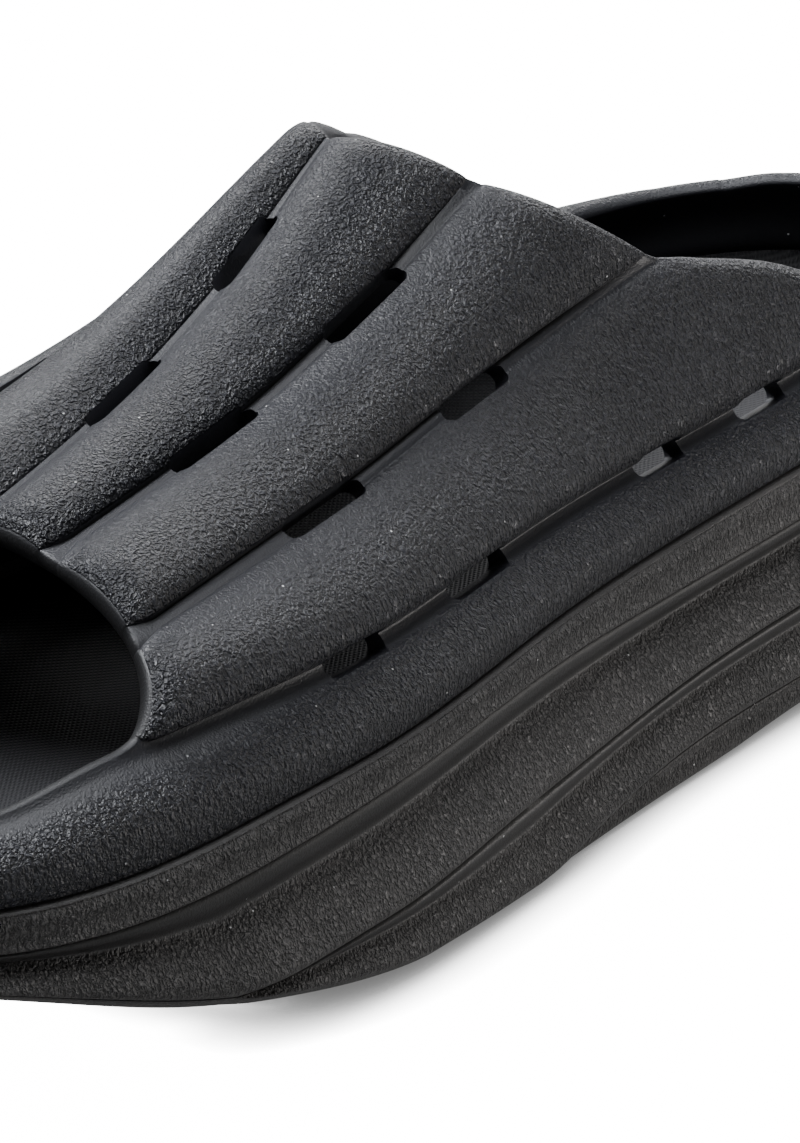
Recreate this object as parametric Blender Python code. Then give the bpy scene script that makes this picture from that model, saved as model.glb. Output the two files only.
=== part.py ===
"""Sport slide sandal, left foot: a ribbed and slotted upper, a footbed and a layered rocker sole.

Toe along -Y, heel along +Y, the outer side of the foot along +X, Z up, the sole's flats on Z = 0.
"""

import math

import bpy
import numpy as np

# Named sizes of the shoe, in metres.
LENGTH = 0.285
BALL_WIDTH = 0.103
INSTEP_HEIGHT = 0.0929
SEAM_HEIGHT = 0.0365

# Plan offset that brings the middle of the whole shoe onto the origin.
CENTRE_ACROSS = 0.0004
CENTRE_ALONG = 0.0010

# Upper: wall, ribs, grooves and slots.
WALL = 0.0028
RIM_WALL = 0.0085
RIB_HEIGHT = 0.0032
FLOOR_DEPTH = 0.0020
FLOOR_HALF = 0.0011
SEAM_TUCK = 0.0005
FRONT_ROUND = 0.0045
COLLAR_ROUND = 0.0060
SLOT_WIDTH = 0.0042
SLOT_REACH_IN = 0.0085
SLOT_REACH_OUT = 0.0065
SHOULDER_RISE = 0.0147
SHOULDER_LEAN = 0.0063

# Forms of the ribs: where the crest lies down a rib, the powers of its slow rise and quick fall,
# the powers of the rib on the ridge, and what is left of the height at the two open edges.
RIB_CREST = 0.62
RIB_CLIMB = 1.15
RIB_FALL = 2.4
TOP_RIB_SQUARE = 2.6
TOP_RIB_ROUND = 0.75
FLOOR_SHARES = (0.02, 0.12)
FRONT_LEFT = 0.12
COLLAR_LEFT = 0.55
EDGE_BULGE = 0.65

# Form of the ring's wall: its crest and end up the wall, and the powers below and above the crest.
WALL_CREST = 0.42
WALL_TOP = 0.96
WALL_CLIMB = 0.9
WALL_FALL = 1.2
INNER_TURN = 0.8

# How steeply the arch leaves the shoulder: shares of the shoulder's lean and rise.
ARCH_LEAN = 0.70
ARCH_RISE = 0.55

# Sole: lip, ledge for the upper, swell of the side, tray for the footbed, tread.
GAP = 0.0003
LIP_BAND = 0.0060
LEDGE = 0.0092
SIDE_SWELL = 0.0040
EDGE_ROUND = 0.0028
FOOTBED_THICK = 0.0045
FOOTBED_SINK = 0.0020
FOOTBED_HEEL_RISE = 0.0035
FOOTBED_DISH = 0.0035
TREAD_DEPTH = 0.0022
TREAD_WIDTH = 0.0032
TREAD_BOW = 0.010
TREAD_START = 0.004
TREAD_TAPER = 0.7

# Forms of the sole: the lip's share of its band at the toe, what it gains and by where along; the
# least step between rows of the side; the heights over which the two lower bands fade in, and the
# swell where they have gone; how far the toe's tip draws in; the roll under the edge; the footbed.
LIP_GROWTH = (0.78, 0.30, 0.30)
LEAST_STEP = 0.00022
LEAST_ROLL = 0.0010
MIDDLE_FADE = 0.004
LOWER_FADE = 0.003
PLAIN_SWELL = 1.0
WIDE_SWELL = 1.15
TIP_RUN = 0.10
TIP_PULL = 0.35
ROLL_AT = 0.55
ROLL_IN = 0.28
BED_RISE_FROM = 0.55
BED_RISE_RUN = 0.40
BED_DISH_POWER = 2.2

# How finely the solids are faceted: shares across a rib, across the outermost ribs, and up the vamp.
RIB_STEPS = (0.07, 0.22, 0.42, 0.66, 0.93)
SIDE_RIB_STEPS = (0.05, 0.13, 0.26, 0.44, 0.70, 0.93)
FRONT_ROWS = (0.0, 0.02, 0.06)
MIDDLE_ROWS = (0.12, 0.94)
REAR_ROWS = (0.98, 1.0)
EDGE_ROWS = 2
WALL_ROWS = 5
VAMP_ROWS = 12
TOE_STEPS = 14
HEEL_STEPS = 12
SOLE_STEPS = 30
TRAY_COLUMNS = 6
UNDER_COLUMNS = 4
SLOT_CORNER_STEPS = 6
TREAD_BAR_STEPS = 6
SMOOTH_UNDER = math.radians(40)

# The sole's top outline: share of the length from the toe, share of half the ball width.
OUTLINE = [
    # along, across
    (0.000, -0.105),
    (0.035, 0.445),
    (0.127, 0.854),
    (0.260, 0.998),
    (0.369, 0.984),
    (0.499, 0.887),
    (0.641, 0.806),
    (0.779, 0.792),
    (0.910, 0.689),
    (0.999, 0.058),
    (0.929, -0.588),
    (0.800, -0.769),
    (0.640, -0.736),
    (0.500, -0.767),
    (0.329, -0.918),
    (0.200, -1.000),
    (0.060, -0.736),
]

# Heights along the shoe, as shares of SEAM_HEIGHT: where the upper meets the sole, the two lower
# creases of the sole's side, the lower edge of the side and the underside.
HEIGHTS = [
    # along, seam, crease_2, crease_3, edge, under
    (0.00, 0.960, 0.270, -0.600, 0.690, 0.616),
    (0.06, 0.896, 0.280, -0.500, 0.638, 0.570),
    (0.13, 0.868, 0.284, -0.400, 0.500, 0.425),
    (0.20, 0.888, 0.286, -0.300, 0.320, 0.245),
    (0.27, 0.923, 0.288, -0.200, 0.183, 0.110),
    (0.34, 0.938, 0.298, -0.130, 0.085, 0.012),
    (0.42, 0.967, 0.355, -0.040, 0.040, -0.012),
    (0.50, 0.997, 0.387, 0.080, 0.036, 0.006),
    (0.60, 1.010, 0.433, 0.170, 0.040, 0.010),
    (0.70, 1.033, 0.470, 0.186, 0.077, -0.010),
    (0.80, 1.077, 0.507, 0.225, 0.118, -0.006),
    (0.90, 1.123, 0.548, 0.290, 0.175, 0.080),
    (1.00, 1.167, 0.580, 0.350, 0.240, 0.180),
]

# The upper's middle line over the foot: across in half ball widths, height in INSTEP_HEIGHT.
RIDGE = [
    # along, across, height
    (0.15, -0.117, 0.582),
    (0.27, -0.130, 0.687),
    (0.40, -0.153, 0.795),
    (0.54, -0.159, 0.970),
    (0.70, -0.099, 1.169),
]

# Groove lines of the upper, from the outer side to the inner side. Each row holds the place across
# the arch (-1 seam, 0 outer shoulder, 1 ridge, 2 inner shoulder, 3 seam) at five stops from the toe
# opening to the collar.
STOPS = (0.0, 0.25, 0.5, 0.75, 1.0)
GROOVES = [
    # name, toe, quarter, half, three_quarters, collar
    ("outer_side", -0.045, -0.170, -0.215, -0.225, -0.080),
    ("outer_low", 0.303, 0.322, 0.305, 0.298, 0.294),
    ("outer_high", 0.668, 0.648, 0.628, 0.622, 0.650),
    ("top_outer", 0.930, 0.930, 0.948, 0.985, 1.075),
    ("top_inner", 1.400, 1.405, 1.405, 1.415, 1.450),
    ("inner_high", 1.705, 1.710, 1.710, 1.715, 1.720),
    ("inner_side", 2.045, 2.170, 2.215, 2.225, 2.080),
]
TOP_RIB = 3

# Slots: the groove they lie in and their two ends, as shares of the length.
SLOTS = [
    # groove, front, rear
    ("outer_side", 0.324, 0.371),
    ("outer_side", 0.431, 0.484),
    ("outer_side", 0.607, 0.647),
    ("outer_side", 0.697, 0.737),
    ("outer_low", 0.355, 0.418),
    ("outer_low", 0.493, 0.548),
    ("outer_high", 0.344, 0.405),
    ("outer_high", 0.466, 0.527),
    ("top_outer", 0.349, 0.404),
    ("top_outer", 0.456, 0.508),
    ("top_inner", 0.349, 0.404),
    ("top_inner", 0.456, 0.508),
    ("inner_high", 0.344, 0.405),
    ("inner_high", 0.466, 0.527),
    ("inner_side", 0.324, 0.371),
    ("inner_side", 0.431, 0.484),
    ("inner_side", 0.607, 0.647),
    ("inner_side", 0.697, 0.737),
]

# Toe opening and collar: share of the length at the ridge, how far the edge runs on towards toe or
# heel down at the side walls, and the power of the curve.
TOE_EDGE = (0.265, -0.082, 1.62)
COLLAR_EDGE = (0.564, 0.390, 1.80)

# How far below the shoulder, as a share of the wall, the rim's edge lies round toe and heel.
TOE_RIM = -0.28
HEEL_RIM = -0.12
RIM_RUN = 0.36

# Roundness of the arch's flanks: pull at the shoulder and pull at the ridge, outer and inner side.
ARCH_PULL = {"outer": (0.323, 0.316), "inner": (0.575, 0.390)}

# The sole's side, from the lip down: which band it is in, share down that band, and how far it
# stands out from the outline as a share of SIDE_SWELL.
SIDE = [
    # band, share, outset
    ("lip", 0.00, 0.075),
    ("lip", 0.92, 0.275),
    ("lip", 1.00, 0.225),
    ("upper", 0.10, -0.025),
    ("upper", 0.24, -0.225),
    ("upper", 0.50, 0.250),
    ("upper", 0.76, 0.725),
    ("upper", 0.97, 1.000),
    ("middle", 0.00, 0.950),
    ("middle", 0.28, 0.575),
    ("middle", 0.60, 0.850),
    ("middle", 0.96, 1.200),
    ("lower", 0.05, 1.125),
    ("lower", 0.55, 0.775),
    ("lower", 1.00, 0.900),
]

# Tread grooves: place along the shoe, and how far each end runs, in half ball widths.
TREAD = [
    # along, reach
    (0.14, 0.58),
    (0.19, 0.72),
    (0.24, 0.78),
    (0.29, 0.80),
    (0.35, 0.78),
    (0.43, 0.70),
    (0.66, 0.58),
    (0.72, 0.58),
    (0.80, 0.56),
    (0.86, 0.52),
    (0.92, 0.40),
]


def clear_scene():
    for thing in list(bpy.data.objects):
        bpy.data.objects.remove(thing, do_unlink=True)


def soft_step(x):
    x = np.clip(x, 0.0, 1.0)
    return x * x * (3.0 - 2.0 * x)


def place_along(share):
    """World Y of a place given as a share of the length from the toe."""
    return (share - 0.5) * LENGTH - CENTRE_ALONG


def share_along(y):
    return (y + CENTRE_ALONG) / LENGTH + 0.5


def spline_bends(knots, values, closed):
    """Second derivatives of the cubic spline through the values."""
    n = len(values)
    span = np.diff(np.append(knots, knots[0] + 1.0)) if closed else np.append(np.diff(knots), 1.0)
    grid = np.zeros((n, n))
    side = np.zeros(values.shape)
    for i in range(n):
        before = (i - 1) % n
        after = (i + 1) % n
        if not closed and i in (0, n - 1):
            grid[i, i] = 1.0
            continue
        grid[i, before] += span[before] / 6
        grid[i, i] += (span[before] + span[i]) / 3
        grid[i, after] += span[i] / 6
        side[i] = (values[after] - values[i]) / span[i] - (values[i] - values[before]) / span[before]
    return np.linalg.solve(grid, side)


class Line:
    """A smooth line through table rows: first column the place along, the others read there."""

    def __init__(self, rows):
        rows = np.array(rows, float)
        self.knots = rows[:, 0]
        self.values = rows[:, 1:]
        self.bends = spline_bends(self.knots, self.values, False)

    def at(self, x):
        x = np.clip(np.asarray(x, float), self.knots[0], self.knots[-1])
        i = np.clip(np.searchsorted(self.knots, x, side="right") - 1, 0, len(self.knots) - 2)
        span = (self.knots[i + 1] - self.knots[i])[..., None]
        a = (self.knots[i + 1] - x)[..., None] / span
        b = 1.0 - a
        bend = (a ** 3 - a) * self.bends[i] + (b ** 3 - b) * self.bends[i + 1]
        return a * self.values[i] + b * self.values[i + 1] + bend * span ** 2 / 6


class Loop:
    """A smooth closed curve through points in plan, read at a share of the way round."""

    def __init__(self, points):
        self.values = np.array(points, float)
        step = np.hypot(*(np.roll(self.values, -1, 0) - self.values).T)
        self.knots = np.concatenate([[0.0], np.cumsum(step)[:-1]]) / step.sum()
        self.bends = spline_bends(self.knots, self.values, True)

    def at(self, t):
        t = np.asarray(t, float) % 1.0
        i = np.searchsorted(self.knots, t, side="right") - 1
        j = (i + 1) % len(self.knots)
        end = np.where(j == 0, 1.0, self.knots[j])
        span = (end - self.knots[i])[..., None]
        a = (end[..., None] - t[..., None]) / span
        b = 1.0 - a
        bend = (a ** 3 - a) * self.bends[i] + (b ** 3 - b) * self.bends[j]
        return a * self.values[i] + b * self.values[j] + bend * span ** 2 / 6


class Last:
    """The form the shoe is built on: outline, side heights and the arch over the foot."""

    def __init__(self):
        half = BALL_WIDTH / 2
        self.outline = Loop([(across * half - CENTRE_ACROSS, place_along(along)) for along, across in OUTLINE])
        self.heights = Line(HEIGHTS)
        self.ridge = Line(RIDGE)
        many = np.linspace(0.0, 1.0, 2881)[:-1]
        points = self.outline.at(many)
        self.toe = int(np.argmin(points[:, 1]))
        self.heel = int(np.argmax(points[:, 1]))
        turned = np.roll(np.arange(len(many)), -self.toe)
        rise = (self.heel - self.toe) % len(many)
        outer = turned[: rise + 1]
        inner = np.append(turned[rise:], turned[0])
        start = many[self.toe]
        self.spans = {}
        for side, which in (("outer", outer), ("inner", inner[::-1])):
            shares = share_along(points[which, 1])
            turn = (many[which] - start) % 1.0
            if side == "inner":
                turn[0] = 1.0
            self.spans[side] = (shares, turn + start)

    def share(self, t):
        return share_along(self.outline.at(t)[..., 1])

    def turn(self, share, side):
        """Share of the way round the outline at a place along one side."""
        shares, turns = self.spans[side]
        return np.interp(share, shares, turns)

    def inward(self, t):
        ahead = self.outline.at(np.asarray(t) + 1e-4) - self.outline.at(np.asarray(t) - 1e-4)
        ahead /= np.linalg.norm(ahead, axis=-1, keepdims=True)
        return np.stack([-ahead[..., 1], ahead[..., 0]], -1)

    def height(self, share, name):
        column = ("seam", "crease_2", "crease_3", "edge", "under").index(name)
        found = self.heights.at(share)[..., column] * SEAM_HEIGHT
        if name == "under":
            return np.maximum(found, 0.0)
        return found

    def seam(self, t):
        plan = self.outline.at(t)
        return np.concatenate([plan, self.height(self.share(t), "seam")[..., None]], -1)

    def shoulder(self, t):
        point = self.seam(t)
        point[..., :2] += self.inward(t) * SHOULDER_LEAN
        point[..., 2] += SHOULDER_RISE
        return point

    def flank(self, share, w, side):
        """Point of the arch: w is 0 at the shoulder and 1 at the ridge, below 0 down to the seam."""
        t = self.turn(share, side)
        low = self.seam(t)
        start = self.shoulder(t)
        ridge = self.ridge.at(share)
        top = np.stack([ridge[..., 0] * BALL_WIDTH / 2 - CENTRE_ACROSS, place_along(share),
                        ridge[..., 1] * INSTEP_HEIGHT], -1)
        lead = np.zeros_like(start)
        lead[..., :2] = self.inward(t) * SHOULDER_LEAN * ARCH_LEAN
        lead[..., 2] = SHOULDER_RISE * ARCH_RISE
        lead /= np.linalg.norm(lead, axis=-1, keepdims=True)
        reach = np.linalg.norm(top - start, axis=-1, keepdims=True)
        level = np.array([1.0 if side == "outer" else -1.0, 0.0, 0.0])
        pull = ARCH_PULL[side]
        p1 = start + lead * reach * pull[0]
        p2 = top + level * reach * pull[1]
        a = np.maximum(w, 0.0)[..., None]
        curve = ((1 - a) ** 3 * start + 3 * (1 - a) ** 2 * a * p1
                 + 3 * (1 - a) * a ** 2 * p2 + a ** 3 * top)
        below = np.minimum(w, 0.0)[..., None]
        return curve + (start - low) * below

    def arch(self, share, b):
        share, b = np.broadcast_arrays(np.asarray(share, float), np.asarray(b, float))
        outer = self.flank(share, b, "outer")
        inner = self.flank(share, 2.0 - b, "inner")
        return np.where((b <= 1.0)[..., None], outer, inner)


def groove_place(name, v):
    """Place across the arch of a groove line at v, 0 at the toe opening and 1 at the collar."""
    row = next(row for row in GROOVES if row[0] == name)
    return Line(list(zip(STOPS, row[1:]))).at(v)[..., 0]


def open_edge(b, ends, edge):
    """Place along the shoe of the toe opening's or the collar's edge at b across the arch."""
    middle, run, power = edge
    low = 1.0 - ends[0]
    high = ends[1] - 1.0
    away = np.clip(np.where(b < 1.0, (1.0 - b) / low, (b - 1.0) / high), 0.0, 1.0)
    return middle + run * (1.0 - (1.0 - away ** power) ** (1.0 / power))


def rib_columns(steps, side_steps):
    """Places across all the ribs; the outermost ribs get extra columns near the side grooves."""
    columns = [0.0]
    for k in range(len(GROOVES) - 1):
        inside = list(steps)
        if k == 0:
            inside = list(side_steps)
        if k == len(GROOVES) - 2:
            inside = [1.0 - x for x in reversed(side_steps)]
        if TOP_RIB < k < len(GROOVES) - 2:
            inside = [1.0 - x for x in reversed(steps)]
        columns += [k + x for x in inside] + [k + 1.0]
    return np.array(columns)


def rib_rise(q, floor):
    """Height of a rib, 0 to 1: q runs from its upper groove to its lower one."""
    r = np.clip((q - floor) / np.maximum(1.0 - 2.0 * floor, 1e-6), 0.0, 1.0)
    gentle = np.sin(0.5 * np.pi * np.clip(r / RIB_CREST, 0.0, 1.0)) ** RIB_CLIMB
    past = np.clip((r - RIB_CREST) / (1.0 - RIB_CREST), 0.0, 1.0)
    drop = np.sqrt(1.0 - past ** RIB_FALL)
    return np.where(r < RIB_CREST, gentle, drop)


def top_rib_rise(q, floor):
    """Height of the rib on the ridge, which falls to both its grooves alike."""
    r = np.clip((q - floor) / np.maximum(1.0 - 2.0 * floor, 1e-6), 0.0, 1.0)
    return np.clip(1.0 - np.abs(2.0 * r - 1.0) ** TOP_RIB_SQUARE, 0.0, 1.0) ** TOP_RIB_ROUND


def vamp_grid(last, columns, v):
    """Floor surface over the foot, its place across each rib and the height of the ribs there."""
    v = np.asarray(v, float)
    lines = np.stack([groove_place(row[0], v) for row in GROOVES])
    which = np.clip(columns.astype(int), 0, len(GROOVES) - 2)
    part = columns - which
    b = lines[which] * (1.0 - part)[:, None] + lines[which + 1] * part[:, None]
    front = open_edge(b[:, :1], (b[0, 0], b[-1, 0]), TOE_EDGE)
    rear = open_edge(b[:, -1:], (b[0, -1], b[-1, -1]), COLLAR_EDGE)
    share = front + v[None, :] * (rear - front)
    points = last.arch(share, b)
    rise = np.zeros(b.shape)
    marks = last.arch(open_line(lines, v), lines)
    for k in range(len(GROOVES) - 1):
        width = np.linalg.norm(marks[k + 1] - marks[k], axis=-1)
        floor = np.clip(FLOOR_HALF / width, *FLOOR_SHARES)
        inside = (which == k)
        q = part[inside][:, None]
        if k == TOP_RIB:
            rise[inside] = top_rib_rise(q, floor)
        elif k < TOP_RIB:
            rise[inside] = rib_rise(1.0 - q, floor)
        else:
            rise[inside] = rib_rise(q, floor)
    along = np.cumsum(np.linalg.norm(np.diff(points, axis=1), axis=-1), axis=1)
    from_front = np.concatenate([np.zeros((len(b), 1)), along], 1)
    from_rear = from_front[:, -1:] - from_front
    nose = np.clip(1.0 - from_front / FRONT_ROUND, 0.0, 1.0)
    tail = np.clip(1.0 - from_rear / COLLAR_ROUND, 0.0, 1.0)
    fade = FRONT_LEFT + (1.0 - FRONT_LEFT) * np.sqrt(1.0 - nose ** 2)
    fade *= COLLAR_LEFT + (1.0 - COLLAR_LEFT) * np.sqrt(1.0 - tail ** 2)
    return points, share, b, rise * fade


def open_line(lines, v):
    """Places along the shoe of the groove lines themselves."""
    front = open_edge(lines[:, :1], (lines[0, 0], lines[-1, 0]), TOE_EDGE)
    rear = open_edge(lines[:, -1:], (lines[0, -1], lines[-1, -1]), COLLAR_EDGE)
    return front + v[None, :] * (rear - front)


def wall_rise(h):
    """Swell of the rib between the seam (h 0) and the side groove or rim edge (h 1)."""
    low = np.sin(0.5 * np.pi * np.clip(h / WALL_CREST, 0.0, 1.0)) ** WALL_CLIMB
    down = np.clip((h - WALL_CREST) / (WALL_TOP - WALL_CREST), 0.0, 1.0)
    high = np.cos(0.5 * np.pi * down) ** WALL_FALL
    return np.where(h < WALL_CREST, low, high)


def unit(way):
    return way / np.linalg.norm(way, axis=-1, keepdims=True)


def wall_normals(last, turns):
    """Outward directions of the ring's wall."""
    ahead = last.shoulder(turns + 1e-3) + last.seam(turns + 1e-3)
    behind = last.shoulder(turns - 1e-3) + last.seam(turns - 1e-3)
    return unit(np.cross(ahead - behind, last.shoulder(turns) - last.seam(turns)))


def arch_normals(last, share, b):
    """Outward directions of the arch."""
    along = last.arch(share + 2e-3, b) - last.arch(share - 2e-3, b)
    across = last.arch(share, b + 1e-2) - last.arch(share, b - 1e-2)
    return unit(np.cross(along, across))


def rim_edge(start, middle, end, count):
    """Levels of the rim's edge from one corner of an opening round to the other."""
    x = np.linspace(0.0, 1.0, count + 2)[1:-1]
    near = np.minimum(x, 1.0 - x)
    blend = soft_step(2.0 * near / RIM_RUN)
    corner = np.where(x < 0.5, start, end)
    return corner + (middle - corner) * blend


class Sheet:
    """The upper as one open layer of quads: the ring round the foot and the vamp over it."""

    def __init__(self, last, columns, v, wall_rows, toe_steps, heel_steps):
        vamp, share, b, rise = vamp_grid(last, columns, v)
        outer = [last.turn(s, "outer") for s in share[0]]
        inner = [last.turn(s, "inner") for s in share[-1]]
        heel = list(np.linspace(outer[-1], inner[-1], heel_steps + 1)[1:-1])
        toe = list(np.linspace(inner[0], outer[0] + 1.0, toe_steps + 1)[1:-1])
        turns = np.array(outer + heel + inner[::-1] + toe)
        rows = len(v)
        self.outer_at = list(range(rows))
        self.heel_at = list(range(rows, rows + len(heel)))
        first_inner = rows + len(heel)
        self.inner_at = list(range(first_inner + rows - 1, first_inner - 1, -1))
        self.toe_at = list(range(first_inner + rows, len(turns)))
        top = np.zeros(len(turns))
        top[self.outer_at] = b[0]
        top[self.inner_at] = 2.0 - b[-1]
        top[self.heel_at] = rim_edge(b[0, -1], HEEL_RIM, 2.0 - b[-1, -1], len(heel))
        top[self.toe_at] = rim_edge(2.0 - b[-1, 0], TOE_RIM, b[0, 0], len(toe))
        h = np.linspace(0.0, 1.0, wall_rows + 1)
        seam = last.seam(turns)
        shoulder = last.shoulder(turns)
        climb = h[None, :, None] * (1.0 + top)[:, None, None]
        ring = seam[:, None] + (shoulder - seam)[:, None] * climb
        ring[self.outer_at, -1] = vamp[0]
        ring[self.inner_at, -1] = vamp[-1]
        self.ring = np.arange(ring.size // 3).reshape(ring.shape[:2])
        points = [ring.reshape(-1, 3), vamp[1:-1].reshape(-1, 3)]
        self.points = np.concatenate(points)
        inside = np.arange(vamp[1:-1].size // 3).reshape(vamp[1:-1].shape[:2]) + self.ring.size
        self.vamp = np.concatenate([self.ring[self.outer_at, -1][None], inside,
                                    self.ring[self.inner_at, -1][None]])
        around = self.ring[list(range(1, len(turns))) + [0]]
        wall_quads = np.stack([self.ring[:, :-1], around[:, :-1], around[:, 1:], self.ring[:, 1:]], -1)
        vamp_quads = np.stack([self.vamp[:-1, :-1], self.vamp[:-1, 1:], self.vamp[1:, 1:],
                               self.vamp[1:, :-1]], -1)
        self.quads = np.concatenate([wall_quads.reshape(-1, 4), vamp_quads.reshape(-1, 4)])
        self.h = np.ones(len(self.points))
        self.h[self.ring] = h[None, :]
        self.raise_by = np.zeros(len(self.points))
        self.raise_by[self.ring] = wall_rise(h)[None, :]
        self.raise_by[self.vamp[1:-1]] = rise[1:-1]
        self.raise_by[self.ring[:, -1]] = 0.0
        inward = np.zeros((len(self.points), 3))
        inward[self.ring, :2] = last.inward(turns)[:, None]
        self.normals = np.zeros((len(self.points), 3))
        self.normals[self.ring] = wall_normals(last, turns)[:, None]
        self.normals[self.vamp.reshape(-1)] = arch_normals(last, share, b).reshape(-1, 3)
        depth = SEAM_TUCK + (FLOOR_DEPTH - SEAM_TUCK) * self.h
        self.outside = self.points + self.normals * (self.raise_by * RIB_HEIGHT - depth)[:, None]
        up = soft_step(self.h / INNER_TURN)[:, None]
        way = inward * (1.0 - up) - self.normals * up
        way /= np.linalg.norm(way, axis=-1, keepdims=True)
        thick = RIM_WALL + (WALL + FLOOR_DEPTH - RIM_WALL) * up[:, 0]
        self.inside = self.points + way * thick[:, None]
        self.seam_loop = self.ring[:, 0]
        self.toe_loop = np.concatenate([self.vamp[:, 0], self.ring[self.toe_at, -1]])
        self.collar_loop = np.concatenate([self.vamp[::-1, -1], self.ring[self.heel_at, -1]])


def rounded_rows(sheet, loop, count, bulge):
    """Rows of points that carry the outside over to the inside round an opening's edge."""
    over = sheet.outside[loop]
    under = sheet.inside[loop]
    along = np.roll(sheet.points[loop], -1, 0) - np.roll(sheet.points[loop], 1, 0)
    away = np.cross(sheet.normals[loop], along)
    away /= np.linalg.norm(away, axis=-1, keepdims=True)
    middle = (over + under) / 2
    half = np.linalg.norm(over - under, axis=-1)[:, None] / 2
    rows = []
    for i in range(1, count + 1):
        turn = math.pi * i / (count + 1)
        rows.append(middle + (over - middle) * math.cos(turn) + away * half * bulge * math.sin(turn))
    return rows


def close_sheet(sheet, edge_rows):
    """Points and faces of the upper's closed solid, built from its layer."""
    n = len(sheet.points)
    points = [sheet.outside, sheet.inside]
    faces = [tuple(q) for q in sheet.quads] + [tuple(q[::-1] + n) for q in sheet.quads]
    count = 2 * n
    for loop, rows in ((sheet.seam_loop, 0), (sheet.toe_loop, edge_rows), (sheet.collar_loop, edge_rows)):
        chain = [loop]
        for row in rounded_rows(sheet, loop, rows, EDGE_BULGE):
            points.append(row)
            chain.append(np.arange(count, count + len(loop)))
            count += len(loop)
        chain.append(loop + n)
        flip = -1 if loop is sheet.seam_loop else 1
        for near, far in zip(chain[:-1], chain[1:]):
            quad = np.stack([near, np.roll(near, -1), np.roll(far, -1), far], -1)[:, ::flip]
            faces += [tuple(q) for q in quad]
    return np.concatenate(points), faces


def make_object(name, points, faces, material):
    mesh = bpy.data.meshes.new(name)
    mesh.from_pydata([tuple(map(float, p)) for p in points], [], [tuple(map(int, f)) for f in faces])
    mesh.validate()
    mesh.materials.append(material)
    smooth(mesh)
    thing = bpy.data.objects.new(name, mesh)
    bpy.context.collection.objects.link(thing)
    return thing


def smooth(mesh):
    """Round shading everywhere but over sharp edges."""
    mesh.shade_smooth()
    mesh.set_sharp_from_angle(angle=SMOOTH_UNDER)


def make_material(name, colour, roughness):
    material = bpy.data.materials.new(name)
    material.use_nodes = True
    shader = material.node_tree.nodes["Principled BSDF"]
    shader.inputs["Base Color"].default_value = (*colour, 1.0)
    shader.inputs["Roughness"].default_value = roughness
    shader.inputs["Metallic"].default_value = 0.0
    return material


def cut(target, cutters):
    """Takes the cutters away from the target."""
    group = bpy.data.collections.new(target.name + "_cutters")
    bpy.context.scene.collection.children.link(group)
    for cutter in cutters:
        bpy.context.collection.objects.unlink(cutter)
        group.objects.link(cutter)
        cutter.hide_render = True
        cutter.display_type = "WIRE"
    step = target.modifiers.new("cuts", "BOOLEAN")
    step.operation = "DIFFERENCE"
    step.operand_type = "COLLECTION"
    step.collection = group
    step.solver = "EXACT"
    bpy.context.view_layer.update()
    shape = bpy.data.meshes.new_from_object(target.evaluated_get(bpy.context.evaluated_depsgraph_get()))
    target.modifiers.clear()
    target.data = shape
    smooth(shape)
    for cutter in cutters:
        bpy.data.objects.remove(cutter, do_unlink=True)
    bpy.data.collections.remove(group)


def slot_cutter(last, name, front, rear, number, material):
    """A capsule-shaped bar through the upper's wall, lying along its groove."""
    v = slot_v(last, name, np.array([front, rear]))
    places = groove_place(name, v)
    a, b = last.arch(np.array([front, rear]), places)
    middle = (a + b) / 2
    share = (front + rear) / 2
    place = float(np.mean(places))
    along = (b - a) / np.linalg.norm(b - a)
    across = last.arch(share, place + 0.02) - last.arch(share, place - 0.02)
    normal = np.cross(across, along)
    normal /= np.linalg.norm(normal)
    across = np.cross(along, normal)
    half = np.linalg.norm(b - a) / 2 - SLOT_WIDTH / 2
    points = []
    steps = SLOT_CORNER_STEPS
    for level in (-SLOT_REACH_IN, SLOT_REACH_OUT):
        for end in (1, -1):
            for i in range(steps + 1):
                turn = math.pi * (i / steps - 0.5)
                x = end * (half + math.cos(turn) * SLOT_WIDTH / 2)
                y = end * math.sin(turn) * SLOT_WIDTH / 2
                points.append(middle + along * x + across * y + normal * level)
    n = 2 * (steps + 1)
    faces = [tuple(range(n))[::-1], tuple(range(n, 2 * n))]
    faces += [(i, (i + 1) % n, n + (i + 1) % n, n + i) for i in range(n)]
    cutter = make_object(f"slot_{number}", points, faces, material)
    face_outwards(cutter)
    return cutter


def slot_v(last, name, shares):
    """Where along a groove line, 0 at the toe opening and 1 at the collar, these places lie."""
    many = np.linspace(0.0, 1.0, 201)
    lines = np.stack([groove_place(row[0], many) for row in GROOVES])
    number = [row[0] for row in GROOVES].index(name)
    return np.interp(shares, open_line(lines, many)[number], many)


def face_outwards(thing):
    """Turns the faces so that the closed mesh has a positive volume."""
    mesh = thing.data
    total = 0.0
    for polygon in mesh.polygons:
        corners = [mesh.vertices[i].co for i in polygon.vertices]
        for i in range(1, len(corners) - 1):
            total += corners[0].dot(corners[i].cross(corners[i + 1]))
    if total < 0:
        mesh.flip_normals()


def build_upper(last, material):
    columns = rib_columns(RIB_STEPS, SIDE_RIB_STEPS)
    v = np.concatenate([FRONT_ROWS, np.linspace(*MIDDLE_ROWS, VAMP_ROWS), REAR_ROWS])
    sheet = Sheet(last, columns, v, WALL_ROWS, TOE_STEPS, HEEL_STEPS)
    sheet.outside[sheet.seam_loop, 2] = sheet.points[sheet.seam_loop, 2] + GAP
    sheet.inside[sheet.seam_loop, 2] = sheet.points[sheet.seam_loop, 2] + GAP
    points, faces = close_sheet(sheet, EDGE_ROWS)
    upper = make_object("upper", points, faces, material)
    face_outwards(upper)
    cutters = [slot_cutter(last, *row, number, material) for number, row in enumerate(SLOTS)]
    cut(upper, cutters)
    return upper


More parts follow.
